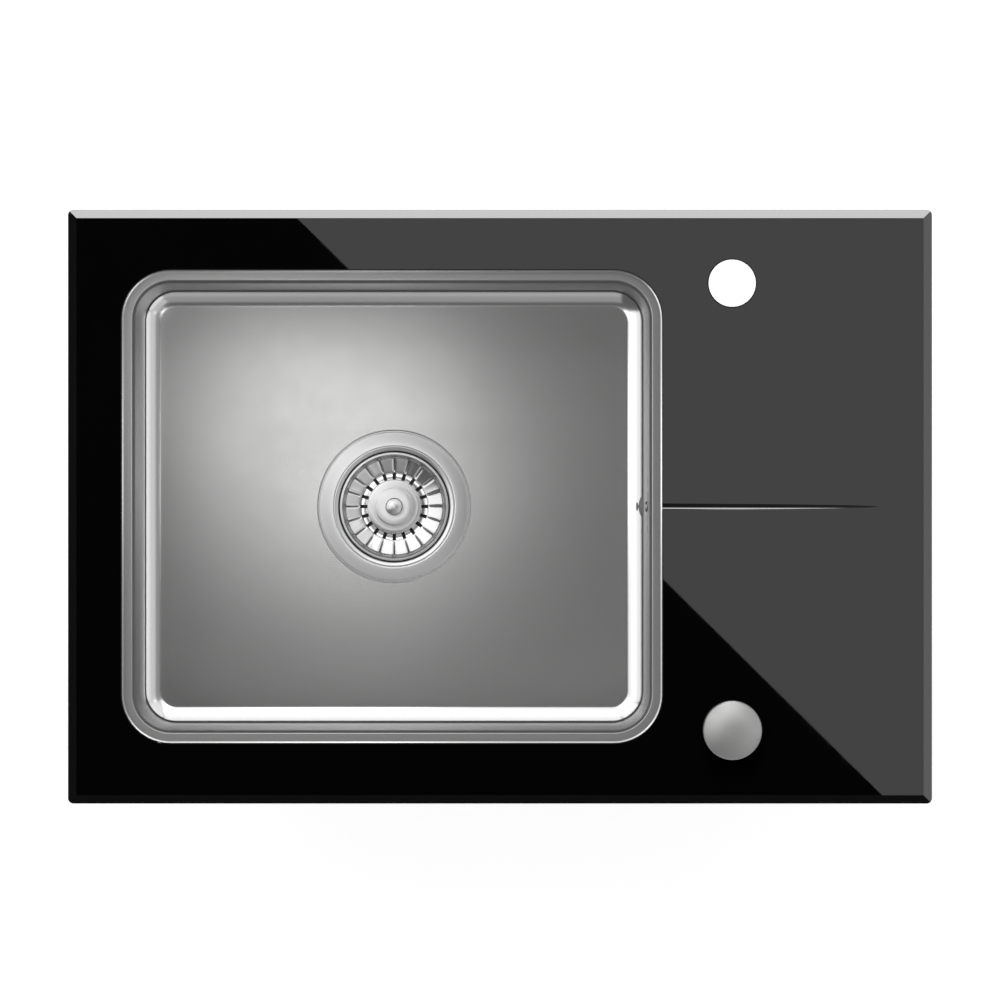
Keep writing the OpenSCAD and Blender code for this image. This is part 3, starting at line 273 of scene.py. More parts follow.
@dataclass(frozen=True)
class Finish:
    """A finish, from which one material is made.

    Attributes are the base and second colour, the range of roughness, and the relief: its pattern,
    its size in features per metre and its height in metres. Then come the size of handling marks,
    the metal, coat and specular, and the axis that a round pattern turns about. Each painted light
    zone is a low and a high, between which the upper side has a grey and a roughness of its own;
    that grey is painted light or painted shade. Outside is the grey and roughness of faces that look
    down or outward.
    """

    slot: Slot
    colour: Point
    second: Point
    rough: Pair
    pattern: Pattern
    size: float
    height: float
    marks: float
    metal: float = 0.0
    coat: float = 0.0
    specular: float = 0.5
    centre: Pair = (0.0, 0.0)
    painted_light_zones: tuple[tuple[float, float, float, float], ...] = ()
    outside: Pair | None = None

    def _place(self, g: Graph) -> Socket:
        """Returns Object coordinates, turned to angle, radius and height for a round pattern."""
        where = g.place()
        if self.pattern is not Pattern.ROUND:
            return where
        moved = g.out("Mapping", Vector=where, Location=(-self.centre[0], -self.centre[1], 0.0))
        x, y, z = g.node("SeparateXYZ", Vector=moved).outputs
        radius = g.math("SQRT", g.math("MULTIPLY_ADD", x, x, g.math("MULTIPLY", y, y)))
        angle = g.math("MULTIPLY", g.math("ARCTAN2", y, x), 0.004)
        return g.out("CombineXYZ", X=angle, Y=radius, Z=z)

    def _relief(self, g: Graph, effects: Effects, place: Socket) -> tuple[Socket, Socket]:
        """Adds the fine relief.

        Args:
            g: the material's graph.
            effects: the shared groups.
            place: the coordinates that it reads.

        Returns:
            The height socket and a variation mask from 0 to 1.
        """
        if self.pattern is Pattern.MOULDED:
            return g.group(effects.grain, Vector=place, Size=self.size)
        if self.pattern in (Pattern.CELLS, Pattern.QUILTED):
            soft = self.pattern is Pattern.CELLS
            kind = {"feature": "SMOOTH_F1", "distance": "EUCLIDEAN"} if soft else {"distance": "CHEBYCHEV"}
            height = g.out("TexVoronoi", kind, Vector=place, Scale=self.size, Randomness=float(soft))
            return height, g.remap(height, 0.2, 0.7)
        return g.group(effects.scratches, Vector=place, Scale=(self.size / 60.0, self.size, self.size))

    def _over(self, g: Graph, mask: Socket, own: Pair, colour: Socket, rough: Socket) -> tuple[Socket, Socket]:
        """Lays a grey and a roughness over a colour and roughness by a mask, and returns the two."""
        grey = (own[0], own[0], own[0], 1.0)
        mixed = g.node("Mix", {"data_type": "RGBA"}, i0=mask, i6=colour, i7=grey)
        return mixed.outputs[2], g.out("Mix", i0=mask, i2=rough, i3=own[1])

    def material(self, effects: Effects) -> Material:
        """Makes the material: colour and roughness vary with the relief and with handling.

        Args:
            effects: the shared groups.

        Returns:
            The material.
        """
        made, g = fresh_material("finish_" + self.slot.value)
        height, variation = self._relief(g, effects, self._place(g))
        marks = g.group(effects.handling, Vector=g.place(), Size=self.marks)[0]
        amount = g.math("MULTIPLY_ADD", variation, 0.35, g.math("MULTIPLY", marks, 0.65))
        tint = g.node("Mix", {"data_type": "RGBA"}, i0=amount, i6=(*self.colour, 1.0), i7=(*self.second, 1.0))
        colour, rough = tint.outputs[2], g.remap(amount, 0.0, 1.0, *self.rough)
        # Each zone lays a painted grey, which is painted highlight or painted shade, and its own roughness over the
        # upper side between its heights.
        for low, high, *own in self.painted_light_zones:
            mask = g.group(effects.band, Vector=g.place(), Low=low, High=high)[0]
            colour, rough = self._over(g, mask, own, colour, rough)
        if self.outside is not None:
            mask = g.math("MULTIPLY", g.group(effects.under)[0], 0.8)
            colour, rough = self._over(g, mask, self.outside, colour, rough)
        bump = g.out("Bump", Height=height, Distance=self.height, Strength=1.0)
        shader = g.out(
            "BsdfPrincipled", Base_Color=colour, Roughness=rough, Normal=bump, Metallic=self.metal,
            IOR=1.5, Coat_Weight=self.coat, Coat_Roughness=0.08, Specular_IOR_Level=self.specular,
        )
        g.node("OutputMaterial", Surface=shader)
        return made


FINISHES: tuple[Finish, ...] = (
    Finish(Slot.GLASS, (0.0012, 0.0012, 0.0013), (0.0016, 0.0016, 0.0017), (0.0, 0.012),
           Pattern.MOULDED, 60.0, 2e-7, 6.0),
    # The bowl's zones paint light and shade. The fillet band's grey of 0.93 is a painted highlight, with a real polish
    # of roughness 0.14. The wall's grey of 0.3 and the bend and ledge's grey of 0.5 are painted shade that dulls their
    # reflections, with rougher satin.
    Finish(Slot.BOWL, (0.63, 0.63, 0.625), (0.60, 0.60, 0.595), (0.22, 0.27),
           Pattern.MOULDED, 2600.0, 2e-7, 5.0, metal=1.0, outside=(0.33, 0.42),
           painted_light_zones=((-0.16991, -0.1664, 0.93, 0.14), (-0.1659, -0.0035, 0.3, 0.3), (-0.0035, 0.0003, 0.5, 0.5))),
    # The strainer's zone is partly painted highlight. Everything above the cone, such as the hub, ball and rims, gets
    # a lighter painted grey of 0.93, together with a rougher satin of 0.3.
    Finish(Slot.STRAINER, (0.88, 0.88, 0.88), (0.83, 0.83, 0.83), (0.15, 0.2),
           Pattern.ROUND, 3500.0, 4e-7, 30.0, metal=1.0, centre=(-0.08, 0.0),
           painted_light_zones=((-0.1842, -0.16, 0.93, 0.3),)),
    Finish(Slot.KNOB, (0.62, 0.62, 0.615), (0.58, 0.58, 0.575), (0.46, 0.5),
           Pattern.ROUND, 5200.0, 1.6e-6, 40.0, metal=1.0, centre=(0.172, -0.1655)),
    Finish(Slot.ZINC, (0.56, 0.57, 0.59), (0.44, 0.45, 0.47), (0.32, 0.5),
           Pattern.CELLS, 420.0, 1e-5, 34.0, metal=1.0),
    Finish(Slot.SCREW, (0.62, 0.61, 0.57), (0.50, 0.49, 0.46), (0.2, 0.34),
           Pattern.ALONG_X, 1500.0, 6e-6, 60.0, metal=1.0),
    Finish(Slot.FOAM, (0.055, 0.055, 0.057), (0.09, 0.09, 0.092), (0.75, 0.92),
           Pattern.CELLS, 1900.0, 1.2e-4, 24.0, specular=0.3),
    Finish(Slot.RUBBER, (0.018, 0.018, 0.019), (0.04, 0.04, 0.042), (0.5, 0.68),
           Pattern.MOULDED, 1500.0, 3e-5, 40.0, specular=0.4),
    Finish(Slot.BOND, (0.012, 0.012, 0.013), (0.02, 0.02, 0.021), (0.35, 0.5),
           Pattern.MOULDED, 260.0, 8e-5, 20.0),
    Finish(Slot.PAD, (0.045, 0.045, 0.048), (0.085, 0.085, 0.09), (0.7, 0.88),
           Pattern.QUILTED, 160.0, 5e-4, 14.0),
    Finish(Slot.WHITE, (0.80, 0.80, 0.775), (0.74, 0.74, 0.71), (0.38, 0.5),
           Pattern.MOULDED, 1300.0, 2e-5, 18.0),
    Finish(Slot.GREY, (0.46, 0.46, 0.47), (0.40, 0.40, 0.41), (0.42, 0.55),
           Pattern.MOULDED, 1100.0, 2e-5, 22.0),
    Finish(Slot.DARK, (0.05, 0.05, 0.053), (0.08, 0.08, 0.083), (0.42, 0.58),
           Pattern.MOULDED, 1500.0, 3e-5, 26.0),
    Finish(Slot.ACETAL, (0.66, 0.66, 0.63), (0.60, 0.60, 0.57), (0.24, 0.34),
           Pattern.MOULDED, 1500.0, 1e-5, 40.0, coat=0.15),
    Finish(Slot.SHEATH, (0.05, 0.05, 0.054), (0.075, 0.075, 0.08), (0.36, 0.5),
           Pattern.MOULDED, 1200.0, 2e-5, 30.0),
)


# ---- meshes


def placed(name: str, data: Mesh | bpy.types.Camera) -> Object:
    """Makes an object at the origin and puts it into the scene."""
    made = bpy.data.objects.new(name, data)
    bpy.context.scene.collection.objects.link(made)
    return made


def grid_quads(rows: int, cols: int, close_rows: bool = False) -> np.ndarray:
    """Quads of a grid whose points run row by row and whose columns close into rings.

    Args:
        rows: number of rings.
        cols: points in each ring.
        close_rows: joins the last ring to the first.

    Returns:
        An array of corner indices, four to a face.
    """
    r = np.arange(rows if close_rows else rows - 1)[:, None]
    c = np.arange(cols)[None, :]
    here, there = r * cols, ((r + 1) % rows) * cols
    after = (c + 1) % cols
    return np.stack([here + c, here + after, there + after, there + c], axis=-1).reshape(-1, 4)


def lifted(plan: np.ndarray, height: np.ndarray | float) -> np.ndarray:
    """Points (x, y, z) from an array of (x, y) and a height that is spread over it."""
    return np.concatenate([plan, np.broadcast_to(height, (*plan.shape[:-1], 1))], axis=-1)


def outline(level: float, *corners: Pair) -> np.ndarray:
    """Corners (radius, height) given in millimetres, with the heights counted from a level in metres."""
    return np.array(corners) * 0.001 + np.array([0.0, level])


def spun(r: np.ndarray, angle: np.ndarray, z: np.ndarray, centre: Pair) -> np.ndarray:
    """The points (cx + r cos a, cy + r sin a, z), one row for each ring."""
    plan = np.stack([centre[0] + r * np.cos(angle), centre[1] + r * np.sin(angle)], axis=-1)
    return lifted(plan, z[..., None])


def turned(profile: np.ndarray, centre: Pair, sides: int) -> Surface:
    """A closed outline of (radius, height) turned about an upright axis.

    Args:
        profile: the outline's points.
        centre: where the axis stands.
        sides: columns round the axis.

    Returns:
        The points and the quads.
    """
    points = spun(profile[:, :1], np.arange(sides) * TAU / sides, profile[:, 1:], centre)
    return points.reshape(-1, 3), grid_quads(len(profile), sides, close_rows=True)


def rod(radius: float, low: float, high: float, centre: Pair, sides: int) -> Surface:
    """A turned cylinder with closed ends, which serves as a drill."""
    return turned(np.array([[0.0, low], [radius, low], [radius, high], [0.0, high]]), centre, sides)


def swept(path: np.ndarray, radius: np.ndarray, bore: float, sides: int) -> Surface:
    """A tube along a path that keeps level with +Y, closed over its two end rings.

    At each point with heading h, side = h x Y and up = side x h, both of unit length, and the ring
    is the point plus radius (side cos a + up sin a).

    Args:
        path: the points that it follows.
        radius: its outer radius at each point.
        bore: its inner radius.
        sides: columns round it.

    Returns:
        The points and the quads.
    """
    heading = np.gradient(path, axis=0)
    heading /= np.linalg.norm(heading, axis=1, keepdims=True)
    side = np.cross(heading, np.array([0.0, 1.0, 0.0]))
    side /= np.linalg.norm(side, axis=1, keepdims=True)
    up = np.cross(side, heading)
    angle = (np.arange(sides) * TAU / sides)[None, :, None]
    ring = side[:, None] * np.cos(angle) + up[:, None] * np.sin(angle)
    outer = path[:, None] + radius[:, None, None] * ring
    points = np.concatenate([outer, (path[:, None] + bore * ring)[::-1]], axis=0)
    return points.reshape(-1, 3), grid_quads(len(points), sides, close_rows=True)


def smooth_route(points: np.ndarray, steps: int) -> np.ndarray:
    """The Catmull-Rom curve through points, with steps points for each span."""
    ends = np.concatenate([points[:1], points, points[-1:]])
    a, b, c, d = (ends[k : len(ends) - 3 + k, None] for k in range(4))
    t = (np.arange(steps) / steps)[None, :, None]
    curve = 0.5 * (2 * b + (c - a) * t + (2 * a - 5 * b + 4 * c - d) * t**2 + (3 * b - a - 3 * c + d) * t**3)
    return np.concatenate([curve.reshape(-1, 3), points[-1:]])


class Workshop:
    """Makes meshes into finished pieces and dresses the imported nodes."""

    crease: float = 38.0

    def __init__(self, frame: dict) -> None:
        self.nodes: dict[str, Object] = frame["nodes"]
        effects = Effects()
        self.materials = {finish.slot: finish.material(effects) for finish in FINISHES}
        self.slots = {s["node"]: Slot(s["material_slot"]) for s in frame["record"]["subparts"]}
        self.bodies = {n: b for b, members in frame["record"]["behaviour"]["bodies"].items() for n in members}

    def mesh(self, name: str, points: np.ndarray, faces: np.ndarray) -> Mesh:
        """Puts arrays into a mesh, closes its poles and turns its faces outward.

        Args:
            name: the mesh's name.
            points: one point to a row.
            faces: corner indices, one face to a row.

        Returns:
            The mesh.
        """
        mesh = bpy.data.meshes.new(name)
        mesh.from_pydata(points.tolist(), [], faces.tolist())
        self.clean(mesh)
        return mesh

    def clean(self, mesh: Mesh, merge: float = 1e-6, flat: float = 0.0) -> None:
        """Merges doubles, drops faces without area and recalculates outward normals.

        Args:
            mesh: the mesh, changed in place.
            merge: the distance at which points are merged.
            flat: joins faces that lie within this angle of one plane, if it isn't 0.
        """
        work = bmesh.new()
        work.from_mesh(mesh)
        bmesh.ops.remove_doubles(work, verts=work.verts, dist=merge)
        bmesh.ops.dissolve_degenerate(work, edges=work.edges, dist=merge)
        if flat:
            bmesh.ops.dissolve_limit(work, angle_limit=flat, verts=work.verts, edges=work.edges)
        bmesh.ops.recalc_face_normals(work, faces=work.faces)
        work.to_mesh(mesh)
        work.free()

    def piece(self, name: str, shape: Mesh | Surface, *nodes: str, crease: float = crease) -> Object:
        """Makes a piece that stands for nodes and takes their finish and body.

        Args:
            name: the piece's name.
            shape: its mesh, or the points and faces of one.
            *nodes: the nodes that it replaces.
            crease: edges that turn by more than this many degrees stay sharp.

        Returns:
            The piece.
        """
        mesh = self.mesh(name, *shape) if isinstance(shape, tuple) else shape
        made = placed(name, mesh)
        slot = self.slots[nodes[0]]
        mesh.materials.clear()
        mesh.materials.append(self.materials[slot])
        mesh.polygons.foreach_set("use_smooth", np.ones(len(mesh.polygons), dtype=bool))
        mesh.set_sharp_from_angle(angle=np.radians(crease))
        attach(made, self.bodies[nodes[0]])
        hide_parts(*nodes)
        LOG.info("%s: %d faces for %s", name, len(mesh.polygons), ", ".join(nodes))
        return made

    def break_edges(self, piece: Object, width: float, angle: float) -> None:
        """Breaks a piece's edges that turn by more than angle degrees."""
        edge = piece.modifiers.new("broken_edges", "BEVEL")
        edge.width, edge.segments, edge.limit_method = width, 2, "ANGLE"
        edge.angle_limit, edge.harden_normals = np.radians(angle), True

    def ease(self, **widths: float) -> None:
        """Makes copies of nodes whose sharp edges are broken, as a press or a mould leaves them.

        Args:
            **widths: the width of each node's broken edges.
        """
        for node, width in widths.items():
            mesh = self.nodes[node].data.copy()
            self.clean(mesh, merge=2e-6, flat=np.radians(0.4))
            self.break_edges(self.piece(node + "_eased", mesh, node, crease=32.0), width, 40.0)

    def dress(self, *nodes: str) -> None:
        """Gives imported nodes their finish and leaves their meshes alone."""
        for node in nodes:
            materials = self.nodes[node].data.materials
            materials.clear()
            materials.append(self.materials[self.slots[node]])
            LOG.info("%s: own mesh", node)

    def cut(self, target: Object, cutters: list[Surface]) -> None:
        """Takes closed solids out of a piece and keeps the result as its mesh.

        Args:
            target: the piece.
            cutters: points and quads of each solid.
        """
        tools = []
        for k, cutter in enumerate(cutters):
            tool = placed(f"cutter_{k}", self.mesh(f"cutter_{k}", *cutter))
            tools.append(tool)
            step = target.modifiers.new(f"cut_{k}", "BOOLEAN")
            step.operation, step.object, step.solver = "DIFFERENCE", tool, "EXACT"
        view = bpy.context.evaluated_depsgraph_get()
        view.update()
        result = bpy.data.meshes.new_from_object(target.evaluated_get(view))
        target.modifiers.clear()
        target.data = result
        result.set_sharp_from_angle(angle=np.radians(self.crease))
        for tool in tools:
            bpy.data.objects.remove(tool)


# ---- the bowl


@dataclass
class Bowl:
    """The pressed bowl: a sheet carried round a rounded rectangle, with a floor that falls to the drain."""

    centre: Pair = (-0.08, 0.0)
    core: Pair = (0.164, 0.139)
    corner: float = 0.036
    ledge: float = 0.0065
    bend: float = 0.003
    step_tilt: float = np.radians(17.0)
    step_width: float = 0.0014
    step_ease: float = 0.0002
    lean: float = np.radians(1.0)
    band: float = 0.044
    sheet: float = 0.001
    flange: float = 0.014
    top: float = 0.001
    floor: float = -0.17
    fall: float = 0.002
    recess: float = 0.0025
    recess_radius: float = 0.0573
    recess_slope: float = 0.0008
    drain_radius: float = 0.045
    overflow_height: float = -0.033
    hole_places: tuple[float, ...] = (-0.0175, -0.008, 0.008, 0.0175)
    hole_radius: float = 0.0037
    screw_radius: float = 0.0027
    drill_reach: float = 0.004

    def _outline(self) -> Surface:
        """Points on the core rectangle and the outward direction at each, once round.

        A corner holds its point while the direction turns a quarter; an edge holds its direction
        while the point moves along it. Offset by s, they give a rounded rectangle of radius s.
        """
        corners = np.array([[1, 1], [-1, 1], [-1, -1], [1, -1]], dtype=float) * np.array(self.core)
        base, out = [], []
        for k, (here, there) in enumerate(zip(corners, np.roll(corners, -1, axis=0))):
            turn = np.radians(90.0 * k + np.linspace(0.0, 90.0, 29))
            facing = np.stack([np.cos(turn), np.sin(turn)], axis=1)
            along = np.linspace(0.0, 1.0, 41)[:-1, None]
            base += [np.repeat(here[None], len(turn) - 1, axis=0), here + (there - here) * along]
            out += [facing[:-1], np.repeat(facing[-1:], len(along), axis=0)]
        return np.concatenate(base), np.concatenate(out)

    def _arcs(self, *parts: tuple[float, float, int]) -> Surface:
        """A run of tangent arcs that starts level: the plan grows by R sin t and the rise by -R cos t.

        Args:
            *parts: for each arc the tilt t in degrees that it ends at, its radius R and its steps.

        Returns:
            Points (plan, rise) and the unit normals (-sin t, cos t) there.
        """
        ends = [0.0, *(part[0] for part in parts)]
        turns = [np.linspace(a, b, part[2] + 1)[1:] for a, b, part in zip(ends, ends[1:], parts)]
        tilt = np.radians(np.concatenate([[0.0], *turns]))
        radius = np.repeat([part[1] for part in parts], [part[2] for part in parts])
        plan = np.concatenate([[0.0], np.cumsum(radius * np.diff(np.sin(tilt)))])
        rise = np.concatenate([[0.0], np.cumsum(radius * -np.diff(np.cos(tilt)))])
        return np.stack([plan, rise], axis=1), np.stack([-np.sin(tilt), np.cos(tilt)], axis=1)

    def _lip(self) -> Surface:
        """The flange and, just inside the glass's edge, the short slope that leads down to the ledge.

        At k along the slope's width w the tangent is tan(tilt) min(1, k / ease, (w - k) / ease), and
        its running sum is how far it has sunk.

        Returns:
            Points (s, z), of which the last lies on the ledge, and the unit normals there.
        """
        k = np.linspace(0.0, self.step_width, 15)
        slope = np.tan(self.step_tilt) * np.clip(np.minimum(k, self.step_width - k) / self.step_ease, 0.0, 1.0)
        sunk = np.concatenate([[0.0], np.cumsum((slope[1:] + slope[:-1]) / 2 * np.diff(k))])
        s = self.corner + np.concatenate([[self.flange, 0.004, 0.0008], 0.0003 - k, [-0.0032, -0.0052]])
        z = self.top - np.concatenate([np.zeros(3), sunk, np.full(2, sunk[-1])])
        tilt = np.concatenate([np.zeros(3), slope, np.zeros(2)])
        up = np.stack([-tilt, np.ones_like(tilt)], axis=1) / np.hypot(tilt, 1.0)[:, None]
        return np.stack([s, z], axis=1), up

    def _section(self) -> Surface:
        """The sheet's upper side from the flange's rim to the foot of the fillet.

        The fillet is small at the floor and the wall and has a wide arc of radius band between 12 and
        26.5 degrees, which, with the painted highlight that the finish lays on that arc, gives the pressing its broad
        bright edge.

        Returns:
            Points (s, z) and the unit normals there: lip, bend, leaning wall and fillet.
        """
        upright = 90.0 - np.degrees(self.lean)
        lip, lip_out = self._lip()
        bend, bend_out = self._arcs((45.0, 0.0012, 6), (upright, 0.0072, 9))
        bend = np.array([self.corner - self.ledge, lip[-1, 1]]) - bend
        fillet, facing = self._arcs((12.0, 0.002, 4), (26.5, self.band, 12), (upright, 0.0013, 12))
        foot_z = self.floor + fillet[-1, 1]
        foot_s = bend[-1, 0] - (bend[-1, 1] - foot_z) * np.tan(self.lean)
        down = np.linspace(0.0, 1.0, 19)[1:-1, None]
        wall = bend[-1] + (np.array([foot_s, foot_z]) - bend[-1]) * down
        wall_out = np.repeat(bend_out[-1:], len(wall), axis=0)
        fillet = fillet + np.array([foot_s - fillet[-1, 0], self.floor])
        return (np.concatenate([lip, bend, wall, fillet[::-1]]),
                np.concatenate([lip_out, bend_out, wall_out, facing[::-1]]))

    def _upper(self) -> Surface:
        """Rings of the upper side and the way into the sheet at each point.

        The floor runs from the fillet's foot F to the recess circle G in straight spokes
        (1-t) F + t G. With u and v as shares of the half length and width, it sinks by
        fall (P / Pg)^1.2, where P = (1-u^2)(1-v^2) and Pg is P on G, so it starts level and has no
        crease. At k across its slope the recess sinks by recess k^2 (3 - 2k).
        """
        base, out = self._outline()
        section, normal = self._section()
        s, z = section.T[:, :, None, None]
        skin = lifted(base + s * out, z)
        inward = lifted(-normal[:, 0, None, None] * out, -normal[:, 1, None, None])
        edge = skin[-1, :, :2]
        spoke = edge / np.linalg.norm(edge, axis=1, keepdims=True)
        t = np.linspace(0.0, 1.0, 34)[1:, None, None]
        shelf = self.recess_radius + self.recess_slope
        floor = (1 - t) * edge + t * shelf * spoke
        reach = np.array(self.core) + section[-1, 0]
        hollow = np.prod(1.0 - np.minimum(np.abs(floor) / reach, 1.0) ** 2, axis=-1, keepdims=True)
        k = np.linspace(0.0, 1.0, 9)[1:, None, None]
        low = self.floor - self.fall
        seat = np.linspace(self.recess_radius, self.drain_radius, 6)[1:, None, None]
        flat = np.concatenate([
            lifted(floor, self.floor - self.fall * (hollow / hollow[-1:]) ** 1.2),
            lifted((shelf - self.recess_slope * k) * spoke, low - self.recess * (k * k * (3 - 2 * k))),
            lifted(seat * spoke, low - self.recess),
        ])
        return np.concatenate([skin, flat]), np.concatenate([inward, lifted(np.zeros_like(flat[..., :2]), -1.0)])

    def _drill(self, y: float, radius: float) -> Surface:
        """A cylinder along X through the right wall at y."""
        drop = self.top - self.bend - self.overflow_height
        wall = self.centre[0] + self.core[0] + self.corner - self.ledge - self.bend - drop * np.tan(self.lean)
        points, faces = rod(radius, -self.drill_reach, self.drill_reach, (0.0, 0.0), 40)
        return points[:, [2, 0, 1]] + np.array([wall, y, self.overflow_height]), faces

    def build(self, shop: Workshop) -> None:
        """Builds the sheet, cuts the overflow and screw holes and dresses the pad and the bond."""
        upper, inward = self._upper()
        points = np.concatenate([upper, (upper + self.sheet * inward)[::-1]])
        rows, cols = points.shape[:2]
        points = points.reshape(-1, 3) + np.array([*self.centre, 0.0])
        made = shop.piece("bowl_sheet", (points, grid_quads(rows, cols, True)), "bowl")
        places = [(y, self.hole_radius) for y in self.hole_places] + [(0.0, self.screw_radius)]
        shop.cut(made, [self._drill(*place) for place in places])
        shop.dress("sound_pad", "bowl_bond")


# ---- the strainer


@dataclass
class Strainer:
    """The cup in the floor, the slotted basket with its ball knob, and the plug under it."""

    centre: Pair = (-0.08, 0.0)
    sheet: float = 0.0008
    cup_top: float = -0.1727
    drain_holes: int = 8
    drain_ring: float = 0.0225
    drain_radius: float = 0.0064
    stem_radius: float = 0.0062
    drill: Pair = (-0.204, -0.2)
    slots: int = 20
    slot_width: float = 0.0026
    slot_rows: Pair = (0.0209, 0.0257)
    groove_width: float = 0.0016
    groove_rows: Pair = (0.0265, 0.0368)
    groove: float = 0.0005
    basket_floor: float = -0.19
    hub: float = 0.007
    ball_crown: float = 0.013
    ball_edge: Pair = (0.0048, 0.0018)

    def _cup(self) -> np.ndarray:
        """The cup's outline: a flange that falls outward by 0.7 mm k^1.6, a throat, a conical seat and a floor."""
        k = np.linspace(1.0, 0.0, 16)
        crown = np.stack([46.2 + 9.8 * k, -0.7 * k**1.6], axis=1)
        a = np.radians(np.linspace(80.0, 0.0, 6))
        throat = np.stack([43.2 - 1.2 * np.cos(a), 1.2 * np.sin(a) - 1.8], axis=1)
        return outline(
            self.cup_top, (56.5, -1.6), (56.4, -1.0), *crown, (45.8, -0.1), (45.5, -0.4), (45.0, -0.4), (44.7, -0.2),
            *throat, (42.1, -2.4), (42.8, -3.4), (43.6, -4.8), (43.6, -15.5), (36.0, -23.5), (36.0, -29.0),
            (0.0, -29.0), (0.0, -29.8), (36.8, -29.8), (36.8, -23.9), (44.4, -15.7), (44.4, -3.6), (46.8, -1.4),
            (51.1, -0.9), (54.9, -1.5), (55.7, -1.8),
        )

    def _basket(self) -> Surface:
        """The basket's upper side with its slots left out.

        A ring at radius r has, for each slot, points inside the slot's half angle a = asin(w / 2r) and
        more over the web to the next slot, so that the slot's sides are straight and parallel. Quads
        between the slot's own columns and rows are left out. Up the cone a slot runs on as a groove,
        which is deepest, by groove, in its middle column.

        Returns:
            The points and the quads of the sheet.
        """
        line = outline(
            self.basket_floor, (3.95, 7.0), (10.0, 7.0), (13.4, 7.0), (13.9, 6.9), (14.2, 6.7), (14.6, 6.6),
            (17.5, 6.57), (19.8, 6.5), (20.3, 6.2), (20.6, 5.2), (20.9, 0.2), (22.0, 0.0), (23.8, 0.0), (25.0, 0.0),
            (25.7, 0.1), (26.2, 0.2), (27.0, 0.4), (30.0, 1.3), (33.5, 2.4), (36.2, 3.3), (37.4, 3.8), (38.1, 5.3),
            (38.8, 12.0), (39.1, 15.6), (39.5, 16.5), (40.3, 16.5), (40.9, 16.4), (41.2, 16.0), (41.2, 15.4),
        )
        r = line[:, :1]
        width = np.where((r > 0.0258) & (r < 0.038), self.groove_width, self.slot_width)
        half = np.minimum(np.arcsin(width / 2 / np.maximum(r, 0.006)), np.radians(6.5))
        u = np.array([-1.0, -0.5, 0.0, 0.5, 1.0])
        web = np.linspace(0.0, 1.0, 6)[1:-1]
        pitch = TAU / self.slots
        local = np.concatenate([half * u, half + (pitch - 2 * half) * web], axis=1)
        angle = (local[:, None, :] + (np.arange(self.slots) * pitch)[None, :, None]).reshape(len(line), -1)
        cols = angle.shape[1]
        across = np.tile(np.concatenate([1.0 - np.abs(u), np.zeros(len(web))]), self.slots)
        sunk = self.groove * ((r > self.groove_rows[0]) & (r < self.groove_rows[1])) * across
        quads = grid_quads(len(line), cols).reshape(len(line) - 1, cols, 4)
        first, last = (int(np.argmin(np.abs(r - v))) for v in self.slot_rows)
        row = np.arange(len(line) - 1)[:, None]
        column = np.arange(cols)[None, :] % (len(u) + len(web))
        kept = ~((row >= first) & (row < last) & (column < len(u) - 1))
        return spun(r, angle, line[:, 1:] - sunk, self.centre).reshape(-1, 3), quads[kept]

    def _ball(self) -> np.ndarray:
        """The ball knob's outline: a cap z = peak - R + sqrt(R^2 - r^2), a round edge, a neck and a stem."""
        hub = self.basket_floor + self.hub
        r = np.linspace(0.0, 0.0054, 14)
        cap = np.stack([r, hub + 0.0132 - self.ball_crown + np.sqrt(self.ball_crown**2 - r**2)], axis=1)
        a = np.radians(np.linspace(60.0, -60.0, 16))
        out, size = self.ball_edge
        side = np.stack([out + size * np.cos(a), cap[-1, 1] - 0.0016 + size * np.sin(a)], axis=1)
        neck = outline(hub, (4.4, 4.0), (4.2, 1.2), (4.5, 0.4), (5.2, 0.0), (3.9, 0.0), (3.9, -22.7), (0.0, -22.7))
        return np.concatenate([cap, side, neck])

    def build(self, shop: Workshop) -> None:
        """Builds the cup, basket and ball knob, and dresses what lies under them."""
        cup = shop.piece("strainer_cup_turned", turned(self._cup(), self.centre, 160), "strainer_cup")
        ring = (np.arange(self.drain_holes) + 0.5) * TAU / self.drain_holes
        spots = spun(self.drain_ring, ring, np.zeros(self.drain_holes), self.centre)[:, :2]
        holes = [rod(self.drain_radius, *self.drill, spot, 32) for spot in spots]
        shop.cut(cup, [*holes, rod(self.stem_radius, *self.drill, self.centre, 32)])
        basket = shop.piece("basket_pressed", self._basket(), "basket", crease=60.0)
        ups = sum(face.normal.z * face.area for face in basket.data.polygons)
        wall = basket.modifiers.new("sheet", "SOLIDIFY")
        wall.thickness, wall.offset, wall.use_even_offset = self.sheet * 0.95, -1.0 if ups > 0.0 else 1.0, True
        shop.break_edges(basket, 0.00022, 55.0)
        shop.piece("ball_knob", turned(self._ball(), self.centre, 64), "basket_knob")
        shop.ease(hollow_screw=0.0004, stopper_plate=0.0003, stopper_seal=0.0004)
        shop.dress("strainer_gasket", "waste_gasket", "lift_pin")


# ---- deck, knob, pipe, cable and clamps


